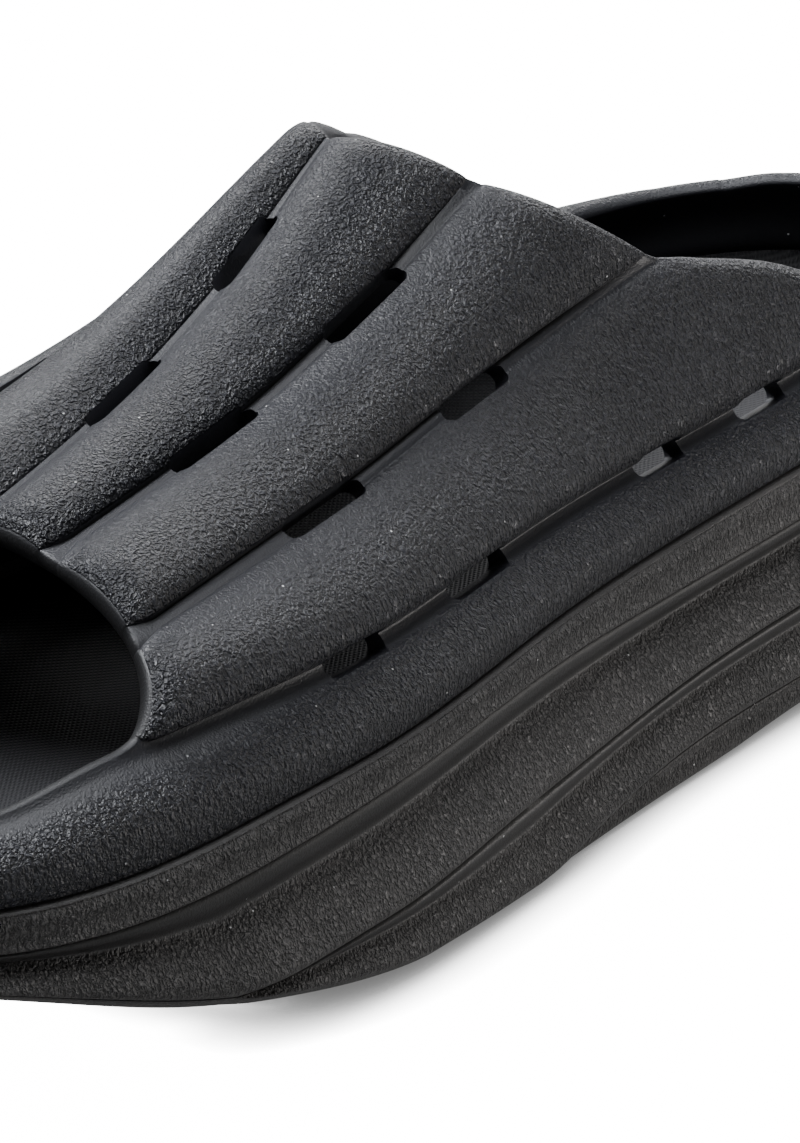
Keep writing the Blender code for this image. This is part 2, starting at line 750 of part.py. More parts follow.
def sole_stops(steps):
    """Places along the shoe, closer together at toe and heel."""
    turn = np.linspace(0.0, math.pi, steps + 1)
    return (1.0 - np.cos(turn)) / 2


def side_levels(last, share):
    """Height and outset of each row of the sole's side at one place along."""
    seam = float(last.height(share, "seam"))
    under = float(last.height(share, "under"))
    edge = max(float(last.height(share, "edge")), under + LEAST_ROLL)
    start, gain, by = LIP_GROWTH
    crease_1 = seam - LIP_BAND * (start + gain * float(soft_step(share / by)))
    crease_2 = float(last.height(share, "crease_2"))
    crease_3 = float(last.height(share, "crease_3"))
    low = len([row for row in SIDE if row[0] == "lower"])
    mid = len([row for row in SIDE if row[0] == "middle"])
    floor_3 = edge + LEAST_STEP * (low + 1)
    floor_2 = floor_3 + LEAST_STEP * (mid + 1)
    keep_2 = float(soft_step((crease_2 - floor_2) / MIDDLE_FADE))
    keep_3 = float(soft_step((crease_3 - floor_3) / LOWER_FADE))
    crease_2 = max(crease_2, floor_2)
    crease_3 = min(max(crease_3, floor_3), crease_2 - LEAST_STEP * (mid + 1))
    tops = {"lip": seam, "upper": crease_1, "middle": crease_2, "lower": crease_3}
    ends = {"lip": crease_1, "upper": crease_2, "middle": crease_3, "lower": edge}
    keeps = {"lip": 1.0, "upper": 1.0, "middle": keep_2, "lower": keep_3}
    plain = {"middle": PLAIN_SWELL, "lower": PLAIN_SWELL + (WIDE_SWELL - PLAIN_SWELL) * keep_2}
    tip = float(soft_step(1.0 - share / TIP_RUN)) * TIP_PULL
    levels = []
    for band, part, outset in SIDE:
        keep = keeps[band]
        out = outset if band in ("lip", "upper") else outset * keep + plain[band] * (1.0 - keep)
        level = tops[band] + (ends[band] - tops[band]) * part
        levels.append((level, out * SIDE_SWELL * (1.0 - tip)))
    last_out = levels[-1][1]
    drop = edge - under
    levels.append((edge - drop * ROLL_AT, last_out - EDGE_ROUND * ROLL_IN))
    levels.append((under, last_out - EDGE_ROUND))
    return levels


def sole_rim(last, stops):
    """Turns round the outline for the sole's stations: outer side, then inner side."""
    outer = [float(last.turn(s, "outer")) for s in stops]
    inner = [float(last.turn(s, "inner")) for s in stops]
    return outer, inner


def inset_points(last, turns, inset, heights):
    plan = last.outline.at(turns) + last.inward(turns) * np.asarray(inset)[..., None]
    return np.concatenate([plan, np.asarray(heights)[..., None]], -1)


def cap_grid(outer_ids, inner_ids, points, across, height):
    """A grid that fills the space between matching edge points; returns its faces."""
    faces = []
    rows = []
    for k, (a, b) in enumerate(zip(outer_ids, inner_ids)):
        if k in (0, len(outer_ids) - 1):
            rows.append([a] * (across + 1))
            continue
        row = [a]
        for i in range(1, across):
            part = i / across
            point = points[a] * (1.0 - part) + points[b] * part
            point = height(point, 2.0 * part - 1.0, k)
            points.append(point)
            row.append(len(points) - 1)
        row.append(b)
        rows.append(row)
    for one, two in zip(rows[:-1], rows[1:]):
        for i in range(across):
            quad = []
            for corner in (one[i], two[i], two[i + 1], one[i + 1]):
                if corner not in quad:
                    quad.append(corner)
            faces.append(tuple(quad))
    return faces


def picked(ring, places):
    return [ring[i] for i in places]


def ring_faces(one, two):
    n = len(one)
    return [(one[i], one[(i + 1) % n], two[(i + 1) % n], two[i]) for i in range(n)]


def stations(last, steps):
    """Stops along the shoe and the turns of one full round: outer side, then back by the inner."""
    stops = sole_stops(steps)
    outer, inner = sole_rim(last, stops)
    turns = np.array(outer + inner[1:-1][::-1])
    shares = np.concatenate([stops, stops[1:-1][::-1]])
    outer_at = list(range(steps + 1))
    inner_at = [0] + list(range(2 * steps - 1, steps, -1)) + [steps]
    return stops, turns, shares, outer_at, inner_at


def bed_height(last, share, side):
    """Top of the footbed: side is -1 and 1 at its edges and 0 along its middle."""
    rise = FOOTBED_HEEL_RISE * soft_step((share - BED_RISE_FROM) / BED_RISE_RUN)
    edge = last.height(share, "seam") - FOOTBED_SINK + rise
    return edge - FOOTBED_DISH * (1.0 - np.abs(side) ** BED_DISH_POWER)


def build_sole(last, material):
    stops, turns, shares, outer_at, inner_at = stations(last, SOLE_STEPS)
    levels = np.array([side_levels(last, s) for s in shares])
    points = []
    rings = []
    for r in range(levels.shape[1]):
        row = inset_points(last, turns, -levels[:, r, 1], levels[:, r, 0])
        rings.append(list(range(len(points), len(points) + len(row))))
        points += list(row)
    faces = []
    for one, two in zip(rings[:-1], rings[1:]):
        faces += ring_faces(one, two)
    seam = last.height(shares, "seam")
    bed = bed_height(last, shares, np.ones(len(shares))) - FOOTBED_THICK - GAP
    above = []
    for inset, height in ((LEDGE, seam), (LEDGE, bed)):
        row = inset_points(last, turns, np.full(len(turns), inset), height)
        above.append(list(range(len(points), len(points) + len(row))))
        points += list(row)
    faces += ring_faces(above[0], rings[0])
    faces += ring_faces(above[1], above[0])

    def tray(point, side, k):
        level = bed_height(last, np.array(stops[k]), np.array(side)) - FOOTBED_THICK - GAP
        return np.array([point[0], point[1], float(level)])

    def under(point, side, k):
        return np.array([point[0], point[1], float(last.height(stops[k], "under"))])

    floor = above[1]
    bottom = rings[-1]
    faces += cap_grid(picked(floor, inner_at), picked(floor, outer_at), points, TRAY_COLUMNS, tray)
    faces += cap_grid(picked(bottom, outer_at), picked(bottom, inner_at), points, UNDER_COLUMNS, under)
    sole = make_object("sole", points, faces, material)
    face_outwards(sole)
    cutters = [tread_cutter(last, *row, number, material) for number, row in enumerate(TREAD)]
    cut(sole, cutters)
    return sole


def tread_cutter(last, along, reach, number, material):
    """A bowed bar across the sole's underside."""
    half = BALL_WIDTH / 2 * reach
    plan_a = last.outline.at(last.turn(along, "outer"))
    plan_b = last.outline.at(last.turn(along, "inner"))
    centre = (plan_a[0] + plan_b[0]) / 2
    points = []
    steps = TREAD_BAR_STEPS
    for i in range(steps + 1):
        side = 2.0 * i / steps - 1.0
        bow = TREAD_BOW * (1.0 - side ** 2)
        y = place_along(along) - bow
        base = float(last.height(share_along(y), "under"))
        wide = TREAD_WIDTH / 2
        narrow = wide * TREAD_TAPER
        corners = ((-wide, -TREAD_START), (wide, -TREAD_START), (narrow, TREAD_DEPTH), (-narrow, TREAD_DEPTH))
        for dy, dz in corners:
            points.append((centre + side * half, y + dy, base + dz))
    faces = [(3, 2, 1, 0), tuple(range(4 * steps, 4 * steps + 4))]
    for i in range(steps):
        for j in range(4):
            a = 4 * i + j
            b = 4 * i + (j + 1) % 4
            faces.append((a, b, b + 4, a + 4))
    cutter = make_object(f"tread_{number}", points, faces, material)
    face_outwards(cutter)
    return cutter


def build_footbed(last, material):
    stops, turns, shares, outer_at, inner_at = stations(last, SOLE_STEPS - 2)
    inset = np.full(len(turns), LEDGE + GAP)
    top = bed_height(last, shares, np.ones(len(shares)))
    points = list(inset_points(last, turns, inset, top))
    upper_ring = list(range(len(points)))
    points += list(inset_points(last, turns, inset, top - FOOTBED_THICK))
    lower_ring = list(range(len(upper_ring), len(points)))

    def face(point, side, k):
        return np.array([point[0], point[1], float(bed_height(last, np.array(stops[k]), np.array(side)))])

    def back(point, side, k):
        return face(point, side, k) - np.array([0.0, 0.0, FOOTBED_THICK])

    faces = ring_faces(upper_ring, lower_ring)
    faces += cap_grid(picked(upper_ring, inner_at), picked(upper_ring, outer_at), points, TRAY_COLUMNS, face)
    faces += cap_grid(picked(lower_ring, outer_at), picked(lower_ring, inner_at), points, TRAY_COLUMNS, back)
    footbed = make_object("footbed", points, faces, material)
    face_outwards(footbed)
    return footbed


def main():
    clear_scene()
    last = Last()
    upper_look = make_material("upper_foam", (0.030, 0.031, 0.035), 0.52)
    sole_look = make_material("sole_foam", (0.026, 0.025, 0.025), 0.55)
    bed_look = make_material("footbed_foam", (0.018, 0.018, 0.020), 0.62)
    build_upper(last, upper_look)
    build_sole(last, sole_look)
    build_footbed(last, bed_look)


main()
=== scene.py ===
"""Looks of a foam slide sandal for a left foot: ribbed upper, footbed and layered sole, all moulded foam.

Metres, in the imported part's frame: toe along -Y, outer side of the foot along +X, Z up.
"""

import math

import bpy
import numpy as np
from mathutils import Matrix, Vector


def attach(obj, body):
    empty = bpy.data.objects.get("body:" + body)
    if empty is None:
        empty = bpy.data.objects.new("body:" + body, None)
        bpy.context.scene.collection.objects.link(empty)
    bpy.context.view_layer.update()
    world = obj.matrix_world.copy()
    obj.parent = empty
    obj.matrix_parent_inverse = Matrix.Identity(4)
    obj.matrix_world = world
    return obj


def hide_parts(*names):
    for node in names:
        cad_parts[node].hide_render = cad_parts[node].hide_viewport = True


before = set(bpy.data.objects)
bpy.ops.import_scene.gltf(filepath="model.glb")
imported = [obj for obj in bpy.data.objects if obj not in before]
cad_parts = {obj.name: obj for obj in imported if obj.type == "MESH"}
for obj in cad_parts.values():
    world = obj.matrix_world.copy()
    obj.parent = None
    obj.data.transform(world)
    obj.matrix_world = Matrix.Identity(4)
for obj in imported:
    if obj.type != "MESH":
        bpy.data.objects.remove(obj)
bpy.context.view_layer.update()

# Named sizes of the shoe, in metres.
LENGTH = 0.285
BALL_WIDTH = 0.103
INSTEP_HEIGHT = 0.0929
SEAM_HEIGHT = 0.0365

# Plan offset that brings the middle of the whole shoe onto the origin.
CENTRE_ACROSS = 0.0004
CENTRE_ALONG = 0.0010

# Upper: wall, ribs, grooves and slots.
WALL = 0.0028
RIM_WALL = 0.0085
RIB_HEIGHT = 0.0032
FLOOR_DEPTH = 0.0020
FLOOR_HALF = 0.0011
SEAM_TUCK = 0.0005
SLOT_REACH_IN = 0.0085
SLOT_REACH_OUT = 0.0065
SHOULDER_RISE = 0.0147
SHOULDER_LEAN = 0.0063

# Forms of the ribs: where the crest lies down a rib, the powers of its slow rise and quick fall,
# and the powers of the rib on the ridge.
RIB_CREST = 0.62
RIB_CLIMB = 1.15
RIB_FALL = 2.4
TOP_RIB_SQUARE = 2.6
TOP_RIB_ROUND = 0.75

# Form of the ring's wall: its crest and end up the wall, the powers below and above the crest, and
# the share of the wall over which its thickness turns from level to square with the surface.
WALL_CREST = 0.42
WALL_TOP = 0.96
WALL_CLIMB = 0.9
WALL_FALL = 1.2
INNER_TURN = 0.8

# How steeply the arch leaves the shoulder: shares of the shoulder's lean and rise.
ARCH_LEAN = 0.70
ARCH_RISE = 0.55

# Sole: lip, ledge for the upper, swell of the side, tray for the footbed, tread.
GAP = 0.0003
LIP_BAND = 0.0060
LEDGE = 0.0092
SIDE_SWELL = 0.0040
FOOTBED_THICK = 0.0045
FOOTBED_SINK = 0.0020
FOOTBED_HEEL_RISE = 0.0035
FOOTBED_DISH = 0.0035
TREAD_DEPTH = 0.0022
TREAD_WIDTH = 0.0032
TREAD_BOW = 0.010
TREAD_START = 0.004
TREAD_TAPER = 0.7

# Forms of the sole: the lip's share of its band at the toe, what it gains and by where along; the
# least round under the side; the swell where both lower creases have run out and where only the last
# has; the run over which the toe's tip draws in, and how much; and the footbed's heel rise and dish.
LIP_GROWTH = (0.78, 0.30, 0.30)
LEAST_ROLL = 0.0010
PLAIN_SWELL = 1.0
WIDE_SWELL = 1.15
TIP_RUN = 0.10
TIP_PULL = 0.35
BED_RISE_FROM = 0.55
BED_RISE_RUN = 0.40
BED_DISH_POWER = 2.2

# The sole's top outline: share of the length from the toe, share of half the ball width.
OUTLINE = [
    # along, across
    (0.000, -0.105),
    (0.035, 0.445),
    (0.127, 0.854),
    (0.260, 0.998),
    (0.369, 0.984),
    (0.499, 0.887),
    (0.641, 0.806),
    (0.779, 0.792),
    (0.910, 0.689),
    (0.999, 0.058),
    (0.929, -0.588),
    (0.800, -0.769),
    (0.640, -0.736),
    (0.500, -0.767),
    (0.329, -0.918),
    (0.200, -1.000),
    (0.060, -0.736),
]

# Heights along the shoe, as shares of SEAM_HEIGHT: where the upper meets the sole, the two lower
# creases of the sole's side, the lower edge of the side and the underside.
HEIGHTS = [
    # along, seam, crease_2, crease_3, edge, under
    (0.00, 0.960, 0.270, -0.600, 0.690, 0.616),
    (0.06, 0.896, 0.280, -0.500, 0.638, 0.570),
    (0.13, 0.868, 0.284, -0.400, 0.500, 0.425),
    (0.20, 0.888, 0.286, -0.300, 0.320, 0.245),
    (0.27, 0.923, 0.288, -0.200, 0.183, 0.110),
    (0.34, 0.938, 0.298, -0.130, 0.085, 0.012),
    (0.42, 0.967, 0.355, -0.040, 0.040, -0.012),
    (0.50, 0.997, 0.387, 0.080, 0.036, 0.006),
    (0.60, 1.010, 0.433, 0.170, 0.040, 0.010),
    (0.70, 1.033, 0.470, 0.186, 0.077, -0.010),
    (0.80, 1.077, 0.507, 0.225, 0.118, -0.006),
    (0.90, 1.123, 0.548, 0.290, 0.175, 0.080),
    (1.00, 1.167, 0.580, 0.350, 0.240, 0.180),
]

# The upper's middle line over the foot: across in half ball widths, height in INSTEP_HEIGHT.
RIDGE = [
    # along, across, height
    (0.15, -0.117, 0.582),
    (0.27, -0.130, 0.687),
    (0.40, -0.153, 0.795),
    (0.54, -0.159, 0.970),
    (0.70, -0.099, 1.169),
]

# Groove lines of the upper, from the outer side to the inner side. Each row holds the place across
# the arch (-1 seam, 0 outer shoulder, 1 ridge, 2 inner shoulder, 3 seam) at five stops from the toe
# opening to the collar.
STOPS = (0.0, 0.25, 0.5, 0.75, 1.0)
GROOVES = [
    # name, toe, quarter, half, three_quarters, collar
    ("outer_side", -0.045, -0.170, -0.215, -0.225, -0.080),
    ("outer_low", 0.303, 0.322, 0.305, 0.298, 0.294),
    ("outer_high", 0.668, 0.648, 0.628, 0.622, 0.650),
    ("top_outer", 0.930, 0.930, 0.948, 0.985, 1.075),
    ("top_inner", 1.400, 1.405, 1.405, 1.415, 1.450),
    ("inner_high", 1.705, 1.710, 1.710, 1.715, 1.720),
    ("inner_side", 2.045, 2.170, 2.215, 2.225, 2.080),
]
TOP_RIB = 3

# Slots: the groove they lie in and their two ends, as shares of the length. Those of the inner side
# repeat three of the outer grooves.
SLOTS = [
    # groove, front, rear
    ("outer_side", 0.324, 0.371),
    ("outer_side", 0.431, 0.484),
    ("outer_side", 0.607, 0.647),
    ("outer_side", 0.697, 0.737),
    ("outer_low", 0.355, 0.418),
    ("outer_low", 0.493, 0.548),
    ("outer_high", 0.344, 0.405),
    ("outer_high", 0.466, 0.527),
    ("top_outer", 0.349, 0.404),
    ("top_outer", 0.456, 0.508),
]
REPEATED = (("top_outer", "top_inner"), ("outer_high", "inner_high"), ("outer_side", "inner_side"))
SLOTS += [(inner, *row[1:]) for outer, inner in REPEATED for row in SLOTS if row[0] == outer]

# Toe opening and collar: share of the length at the ridge, how far the edge runs on towards toe or
# heel down at the side walls, and the power of the curve.
TOE_EDGE = (0.265, -0.082, 1.62)
COLLAR_EDGE = (0.564, 0.390, 1.80)

# How far below the shoulder, as a share of the wall, the rim's edge lies round toe and heel.
TOE_RIM = -0.28
HEEL_RIM = -0.12
RIM_RUN = 0.36

# Roundness of the arch's flanks: pull at the shoulder and pull at the ridge, outer and inner side.
ARCH_PULL = {"outer": (0.323, 0.316), "inner": (0.575, 0.390)}

# Tread grooves: place along the shoe, and how far each end runs, in half ball widths.
TREAD = [
    # along, reach
    (0.14, 0.58),
    (0.19, 0.72),
    (0.24, 0.78),
    (0.29, 0.80),
    (0.35, 0.78),
    (0.43, 0.70),
    (0.66, 0.58),
    (0.72, 0.58),
    (0.80, 0.56),
    (0.86, 0.52),
    (0.92, 0.40),
]

# Finer forms that only the looks have. Every point carries a grain value: from 0 to 1 it says how
# strong the wrinkles are, and below 0 how much painted shade darkens the foam, in a crease, on a hidden
# wall or round an opening.

# Groove floors: the width of each as a share of FLOOR_HALF, the least and greatest share of a rib
# that one takes, its columns, its painted shade, and reach and gain where it opens out at the two edges.
FLOOR_WIDTHS = (1.0, 0.80, 0.70, 0.35, 0.60, 0.80, 1.0)
LEAST_FLOOR = 0.012
FLOOR_LIMIT = 0.30
FLOOR_SPREAD = (0.004, 0.02, 0.06, 0.13, 0.25, 0.42, 0.64, 0.85)
GROOVE_FLOOR_SHADE = -0.05
TOE_FLARE = (0.0055, 1.5)
COLLAR_FLARE = (0.0080, 0.45)

# Ribs: reach of the roll at the two open edges and what is left of the height there; roundness of
# the steep flank, the reach and roundness that it takes on by the collar, and the power of that
# round; softness of the shoulder.
FRONT_ROLL = (0.0055, 0.34)
COLLAR_ROLL = (0.0050, 0.60)
ROUND_FLANK = 0.30
COLLAR_SOFT = (0.0300, 0.85)
FLANK_ARC = 0.75
SHOULDER_SOFT = 0.03

# Thin crease beside a rib's upper groove, and the line at the foot of its steep flank, a shallow groove
# darkened with painted shade: the share down the rib where it starts, its depth and its painted shade,
# and the reach over which it sets in at the toe opening and ends before the collar.
CREASE_DEPTH = 0.00022
CREASE_AT = 0.014
CREASE_WIDE = 0.012
FOOT_AT = 0.999
FOOT_DEPTH = 0.0005
FOOT_LINE_SHADE = -1.6
FOOT_RUN = (0.006, 0.030)

# Grain of a rib: least value, where it sets in down from the groove and over what run, how soon it
# fades in beside the groove and at the foot. Then the ridge's rib: least value, start and run of the
# sides; and the toe opening's edge: strength, reach, and start and run down the rib.
GRAIN_LEAST = 0.16
GRAIN_FROM = 0.0012
GRAIN_RUN = 0.0120
GRAIN_EDGES = (0.0009, 0.008)
TOP_GRAIN = (0.25, 0.15, 0.55)
FRONT_GRAIN = (0.75, 0.011, 0.06, 0.14)

# Ring: the level where its grain ends; the share along where the toe's smooth band begins and its
# run; how far down the grain fades in, at the heel and at the toe; the line under the side slots, a
# shallow groove darkened with painted shade, as its level, width and depth, and the share along where
# it ends and its run.
RING_TOP = 0.91
RING_SMOOTH = (0.34, 0.14)
RING_GRAIN = (0.20, 0.46)
STRIP_LINE = (0.905, 0.016, 0.0005)
STRIP_END = (0.80, 0.06)

# Openings: fullness of the rounded edge; first grain value and step of its rows at the toe and the
# collar, which run into painted shade as the edge rolls inwards, and their deepest painted shade; the
# painted shade of the inside and of the slots' walls; how far the collar's edge swings back on the
# outer side and where; and the rise of the heel's rim.
EDGE_FULL = 0.46
EDGE_GRAIN_AND_SHADE = ((-0.4, -0.25), (0.4, -0.09))
DEEPEST_EDGE_SHADE = -1.2
INSIDE_SHADE = -0.3
SLOT_WALL_SHADE = -1.0
COLLAR_SIDE = 0.0375
COLLAR_SIDE_AT = (0.65, 0.13)
RIM_UP = 0.09

# Slots as seen: the bar that cuts one, its length before scaling, width, corner radius and height
# through the wall; how far down the side it sits from the groove's line; the points round a corner;
# and the distance below which its points are joined.
SLOT_LENGTH = 0.0150
SLOT_SEEN = 0.0032
SLOT_CORNER = 0.00154
SLOT_BAR = 0.0150
SLOT_DROP = 0.0006
SLOT_CORNER_POINTS = 7
WELD = 0.00001

# Points read round the outline and along a groove, and the small steps that slopes are read over: in
# turns, in shares along, across the arch, and across a slot.
OUTLINE_POINTS = 2880
SLOT_SEARCH = 401
TURN_STEP = 1e-3
ALONG_STEP = 2e-3
ACROSS_STEP = 1e-2
SLOT_STEP = 2e-2

# Columns across one rib, from its upper groove (0) to its lower one (1); rows along the vamp, up the
# wall, round toe and heel and round an opening's edge; and how the rows crowd to the two edges.
RIB_SPREAD = (0.0, 0.007, 0.014, 0.021, 0.032, 0.055, 0.09, 0.135, 0.185, 0.24, 0.30, 0.36, 0.42, 0.48, 0.54,
              0.60, 0.655, 0.71, 0.76, 0.81, 0.855, 0.895, 0.93, 0.957, 0.977, 0.991, 1.0)
FINE_ROWS = 176
FINE_WALL = 18
FINE_TOE = 96
FINE_HEEL = 96
FINE_EDGE = 7
ROW_SQUEEZE = 0.045

# The sole's side as seen, from the lip down: which band, share down that band, how far it stands
# out as a share of SIDE_SWELL, and its grain value, which below 0 is painted shade in the creases and
# valleys.
SIDE_FINE = [
    # band, share, outset, grain_and_shade
    ("lip", 0.00, 0.020, 0.0),
    ("lip", 0.03, 0.110, 0.0),
    ("lip", 0.06, 0.140, 0.2),
    ("lip", 0.09, 0.120, 0.3),
    ("lip", 0.13, 0.170, 0.7),
    ("lip", 0.50, 0.240, 0.8),
    ("lip", 0.88, 0.300, 0.7),
    ("lip", 0.97, 0.270, 0.2),
    ("lip", 1.00, 0.180, 0.0),
    ("upper", 0.00, -0.080, -1.4),
    ("upper", 0.03, -0.080, -1.4),
    ("upper", 0.05, 0.040, -0.6),
    ("upper", 0.09, 0.080, -0.5),
    ("upper", 0.15, 0.050, -0.6),
    ("upper", 0.22, -0.060, -0.7),
    ("upper", 0.29, -0.210, -0.6),
    ("upper", 0.35, -0.280, 0.1),
    ("upper", 0.43, -0.150, 0.9),
    ("upper", 0.53, 0.170, 1.0),
    ("upper", 0.64, 0.460, 1.0),
    ("upper", 0.76, 0.730, 1.0),
    ("upper", 0.90, 0.950, 0.8),
    ("upper", 0.97, 1.000, 0.4),
    ("upper", 1.00, 0.940, 0.0),
    ("middle", 0.00, 0.760, -1.4),
    ("middle", 0.04, 0.760, -1.4),
    ("middle", 0.07, 0.880, -0.3),
    ("middle", 0.13, 0.900, -0.3),
    ("middle", 0.20, 0.820, -0.4),
    ("middle", 0.29, 0.640, -0.5),
    ("middle", 0.37, 0.560, 0.1),
    ("middle", 0.47, 0.650, 1.0),
    ("middle", 0.62, 0.890, 1.0),
    ("middle", 0.80, 1.110, 1.0),
    ("middle", 0.93, 1.210, 0.7),
    ("middle", 1.00, 1.150, 0.0),
    ("lower", 0.00, 0.930, -1.4),
    ("lower", 0.05, 0.930, -1.4),
    ("lower", 0.11, 1.050, 0.0),
    ("lower", 0.30, 0.900, 0.3),
    ("lower", 0.55, 0.800, 0.8),
    ("lower", 0.85, 0.850, 0.6),
    ("lower", 1.00, 0.900, 0.2),
]
# How the side rolls under the shoe: how wide and how high the round is, along the shoe.
UNDER_ROLL = [
    # along, wide, high
    (0.00, 0.0100, 0.0070),
    (0.12, 0.0120, 0.0075),
    (0.25, 0.0110, 0.0070),
    (0.35, 0.0090, 0.0060),
    (0.44, 0.0060, 0.0045),
    (0.50, 0.0038, 0.0032),
    (0.57, 0.0026, 0.0024),
    (0.64, 0.0034, 0.0030),
    (0.72, 0.0080, 0.0050),
    (1.00, 0.0080, 0.0050),
]
# How much of its height the lip has, along the shoe.
LIP_THIN = [
    # along, share
    (0.00, 1.00),
    (0.25, 1.00),
    (0.33, 0.84),
    (0.42, 0.78),
    (0.49, 0.86),
    (0.56, 1.00),
    (1.00, 1.00),
]
# How far the two lower creases stand above those of the solid, from which share along and over what
# run; the least height of a band; and the height over which a lower band fades in.
CREASE_RAISE = (0.0016, 0.0013)
RAISE_FROM = 0.20
RAISE_RUN = 0.12
LEAST_BAND = 0.0003
CREASE_FADE = 0.0014
# Stations along the sole and the footbed; the parts that a long step of the side's table is cut into,
# and the share of a band above which a step is long; rows and grain of the round underneath; cells
# across the tray, the underside and the footbed; and the footbed's rounded edge and its corner.
FINE_STATIONS = 260
BED_STATIONS = 120
BETWEEN = 2
FAR_ROWS = 0.05
EDGE_STEPS = 9
UNDER_GRAIN = 0.7
TRAY_CELLS = 6
UNDER_CELLS = 8
BED_CELLS = 40
BED_EDGE = 0.0009
BED_CORNER = 0.3
# Angle in degrees below which neighbouring faces are shaded as one.
SMOOTH_BELOW = 50
# Tread bars: half the length before scaling, and points along the bow.
TREAD_BAR = 0.040
TREAD_POINTS = 24

# Foams: two tones, roughness, depth of the wrinkles and how many of them to a metre.
FOAMS = {
    "upper_foam": ((0.019, 0.0195, 0.025), (0.024, 0.0245, 0.031), 0.39, 0.00055, 1900.0),
    "sole_foam": ((0.072, 0.069, 0.068), (0.096, 0.091, 0.089), 0.42, 0.00066, 2100.0),
}
# Grain: lean and stretch of the wrinkles, the drift that bends them and by how much, the steps that
# shape a ridge, the fine tooth over all, and how much glossier a ridge is.
GRAIN_LEAN = 0.35
GRAIN_STRETCH = 0.52
DRIFT_SCALE = 1400.0
GRAIN_BEND = 0.0010
GRAIN_RAMP = (0.28, 0.72)
TOOTH_SCALE = 3400.0
TOOTH = 0.14
GRAIN_GLOSS = 0.12
# Tones: gain and least tone of the painted shade in the hollows between wrinkles, which also lightens
# their ridges, clouds to a metre and the step between their two tones, and how a grain value below 0
# darkens the foam with painted shade and dulls it.
WRINKLE_HOLLOW_SHADE = (0.90, 0.40)
CLOUD_SCALE = 45.0
CLOUD_RAMP = (0.35, 0.65)
PAINTED_SHADE = 0.40
PAINTED_SHADE_POWER = 3.0
PAINTED_SHADE_ROUGH = 0.30
# Lint: cells to a metre, size of a speck in its cell, how rare specks are, and their colour.
LINT_SCALE = 420.0
LINT_SIZE = 0.070
LINT_RARE = 0.90
LINT_COLOUR = (0.80, 0.80, 0.80, 1.0)
# Footbed: its tone in the open and its painted shade under the vamp, the runs across and along over
# which the painted shade gives way to the open tone, gloss, roughness, and the lines pressed into it:
# turn and pitch of each set, how much they waver and at what scale, and their depth.
BED_BLACK = (0.032, 0.032, 0.036, 1.0)
BED_UNDER_VAMP_SHADE = (0.004, 0.004, 0.005, 1.0)
BED_LIT_SIDE = (-0.010, 0.028)
BED_LIT_TOE = (-0.070, -0.100)
BED_GLOSS = 0.22
BED_ROUGH = 0.68
BED_PRESS = ((-0.62, 0.00062), (0.75, 0.00090))
BED_WAVER = (0.4, 0.5)
BED_PRESS_DEPTH = 0.00014

# The camera as fitted to the photo: where it looks from, in degrees, its roll, how far it stands
# from its aim, the aim's offset across and up the picture, and pixels for each metre at the aim.
CAMERA_AZIMUTH = 39.572
CAMERA_ELEVATION = 21.958
CAMERA_ROLL = -1.353
CAMERA_DISTANCE = 0.92526
CAMERA_ACROSS = 0.01309
CAMERA_UP = -0.01597
CAMERA_AIM = (-CENTRE_ACROSS, -CENTRE_ALONG, 0.050)
PIXELS_PER_METRE = 6963.7
PHOTO_HEIGHT = 1143
SENSOR = 36.0
CAMERA_SIGHT = (0.05, 20.0)

# Studio: the backdrop for the camera and the room for the light; the floor's half side and colour,
# its glow for the light and for the camera, and the power and reach of the shadow by the shoe.
BACKDROP_COLOUR = (1.0, 1.0, 1.0, 1.0)
BACKDROP_LIGHT = 1.05
ROOM_COLOUR = (0.96, 0.98, 1.0, 1.0)
ROOM_LIGHT = 0.05
FLOOR_HALF_SIDE = 4.0
FLOOR_COLOUR = (0.25, 0.25, 0.25, 1.0)
FLOOR_GLOW = 0.18
FLOOR_SEEN = 16.0
FLOOR_SHADE = 3.2
FLOOR_SHADE_REACH = 0.007
LIGHTS = [
    # name, place, aim, size, power, colour
    ("key_over_toe", (-0.60, -0.10, 0.80), (0.0, 0.0, 0.05), (0.45, 0.45), 15.5, (0.95, 0.97, 1.0)),
    ("soft_top", (0.10, 0.10, 1.10), (0.0, 0.0, 0.0), (0.70, 0.70), 9.0, (0.95, 0.97, 1.0)),
    ("rim_behind", (-0.42, 0.80, 0.42), (0.0, 0.0, 0.07), (0.80, 0.22), 4.6, (1.0, 1.0, 1.0)),
    ("side_from_heel", (0.26, 0.28, 0.045), (0.05, 0.03, 0.02), (0.14, 0.05), 0.40, (1.0, 0.96, 0.92)),
]


def soft_step(x):
    x = np.clip(x, 0.0, 1.0)
    return x * x * (3.0 - 2.0 * x)


def unit(way):
    return way / np.linalg.norm(way, axis=-1, keepdims=True)


def place_along(share):
    return (share - 0.5) * LENGTH - CENTRE_ALONG


def share_along(y):
    return (y + CENTRE_ALONG) / LENGTH + 0.5


def spline_bends(knots, values, closed):
    """Second derivatives of the cubic spline through the values."""
    n = len(values)
    span = np.diff(np.append(knots, knots[0] + 1.0)) if closed else np.append(np.diff(knots), 1.0)
    grid = np.zeros((n, n))
    side = np.zeros(values.shape)
    for i in range(n):
        before = (i - 1) % n
        after = (i + 1) % n
        if not closed and i in (0, n - 1):
            grid[i, i] = 1.0
            continue
        grid[i, before] += span[before] / 6
        grid[i, i] += (span[before] + span[i]) / 3
        grid[i, after] += span[i] / 6
        side[i] = (values[after] - values[i]) / span[i] - (values[i] - values[before]) / span[before]
    return np.linalg.solve(grid, side)


def between(values, bends, i, j, a, span):
    """Value of a cubic spline between knots i and j, where a is the share of knot i."""
    b = 1.0 - a
    bend = (a ** 3 - a) * bends[i] + (b ** 3 - b) * bends[j]
    return a * values[i] + b * values[j] + bend * span ** 2 / 6


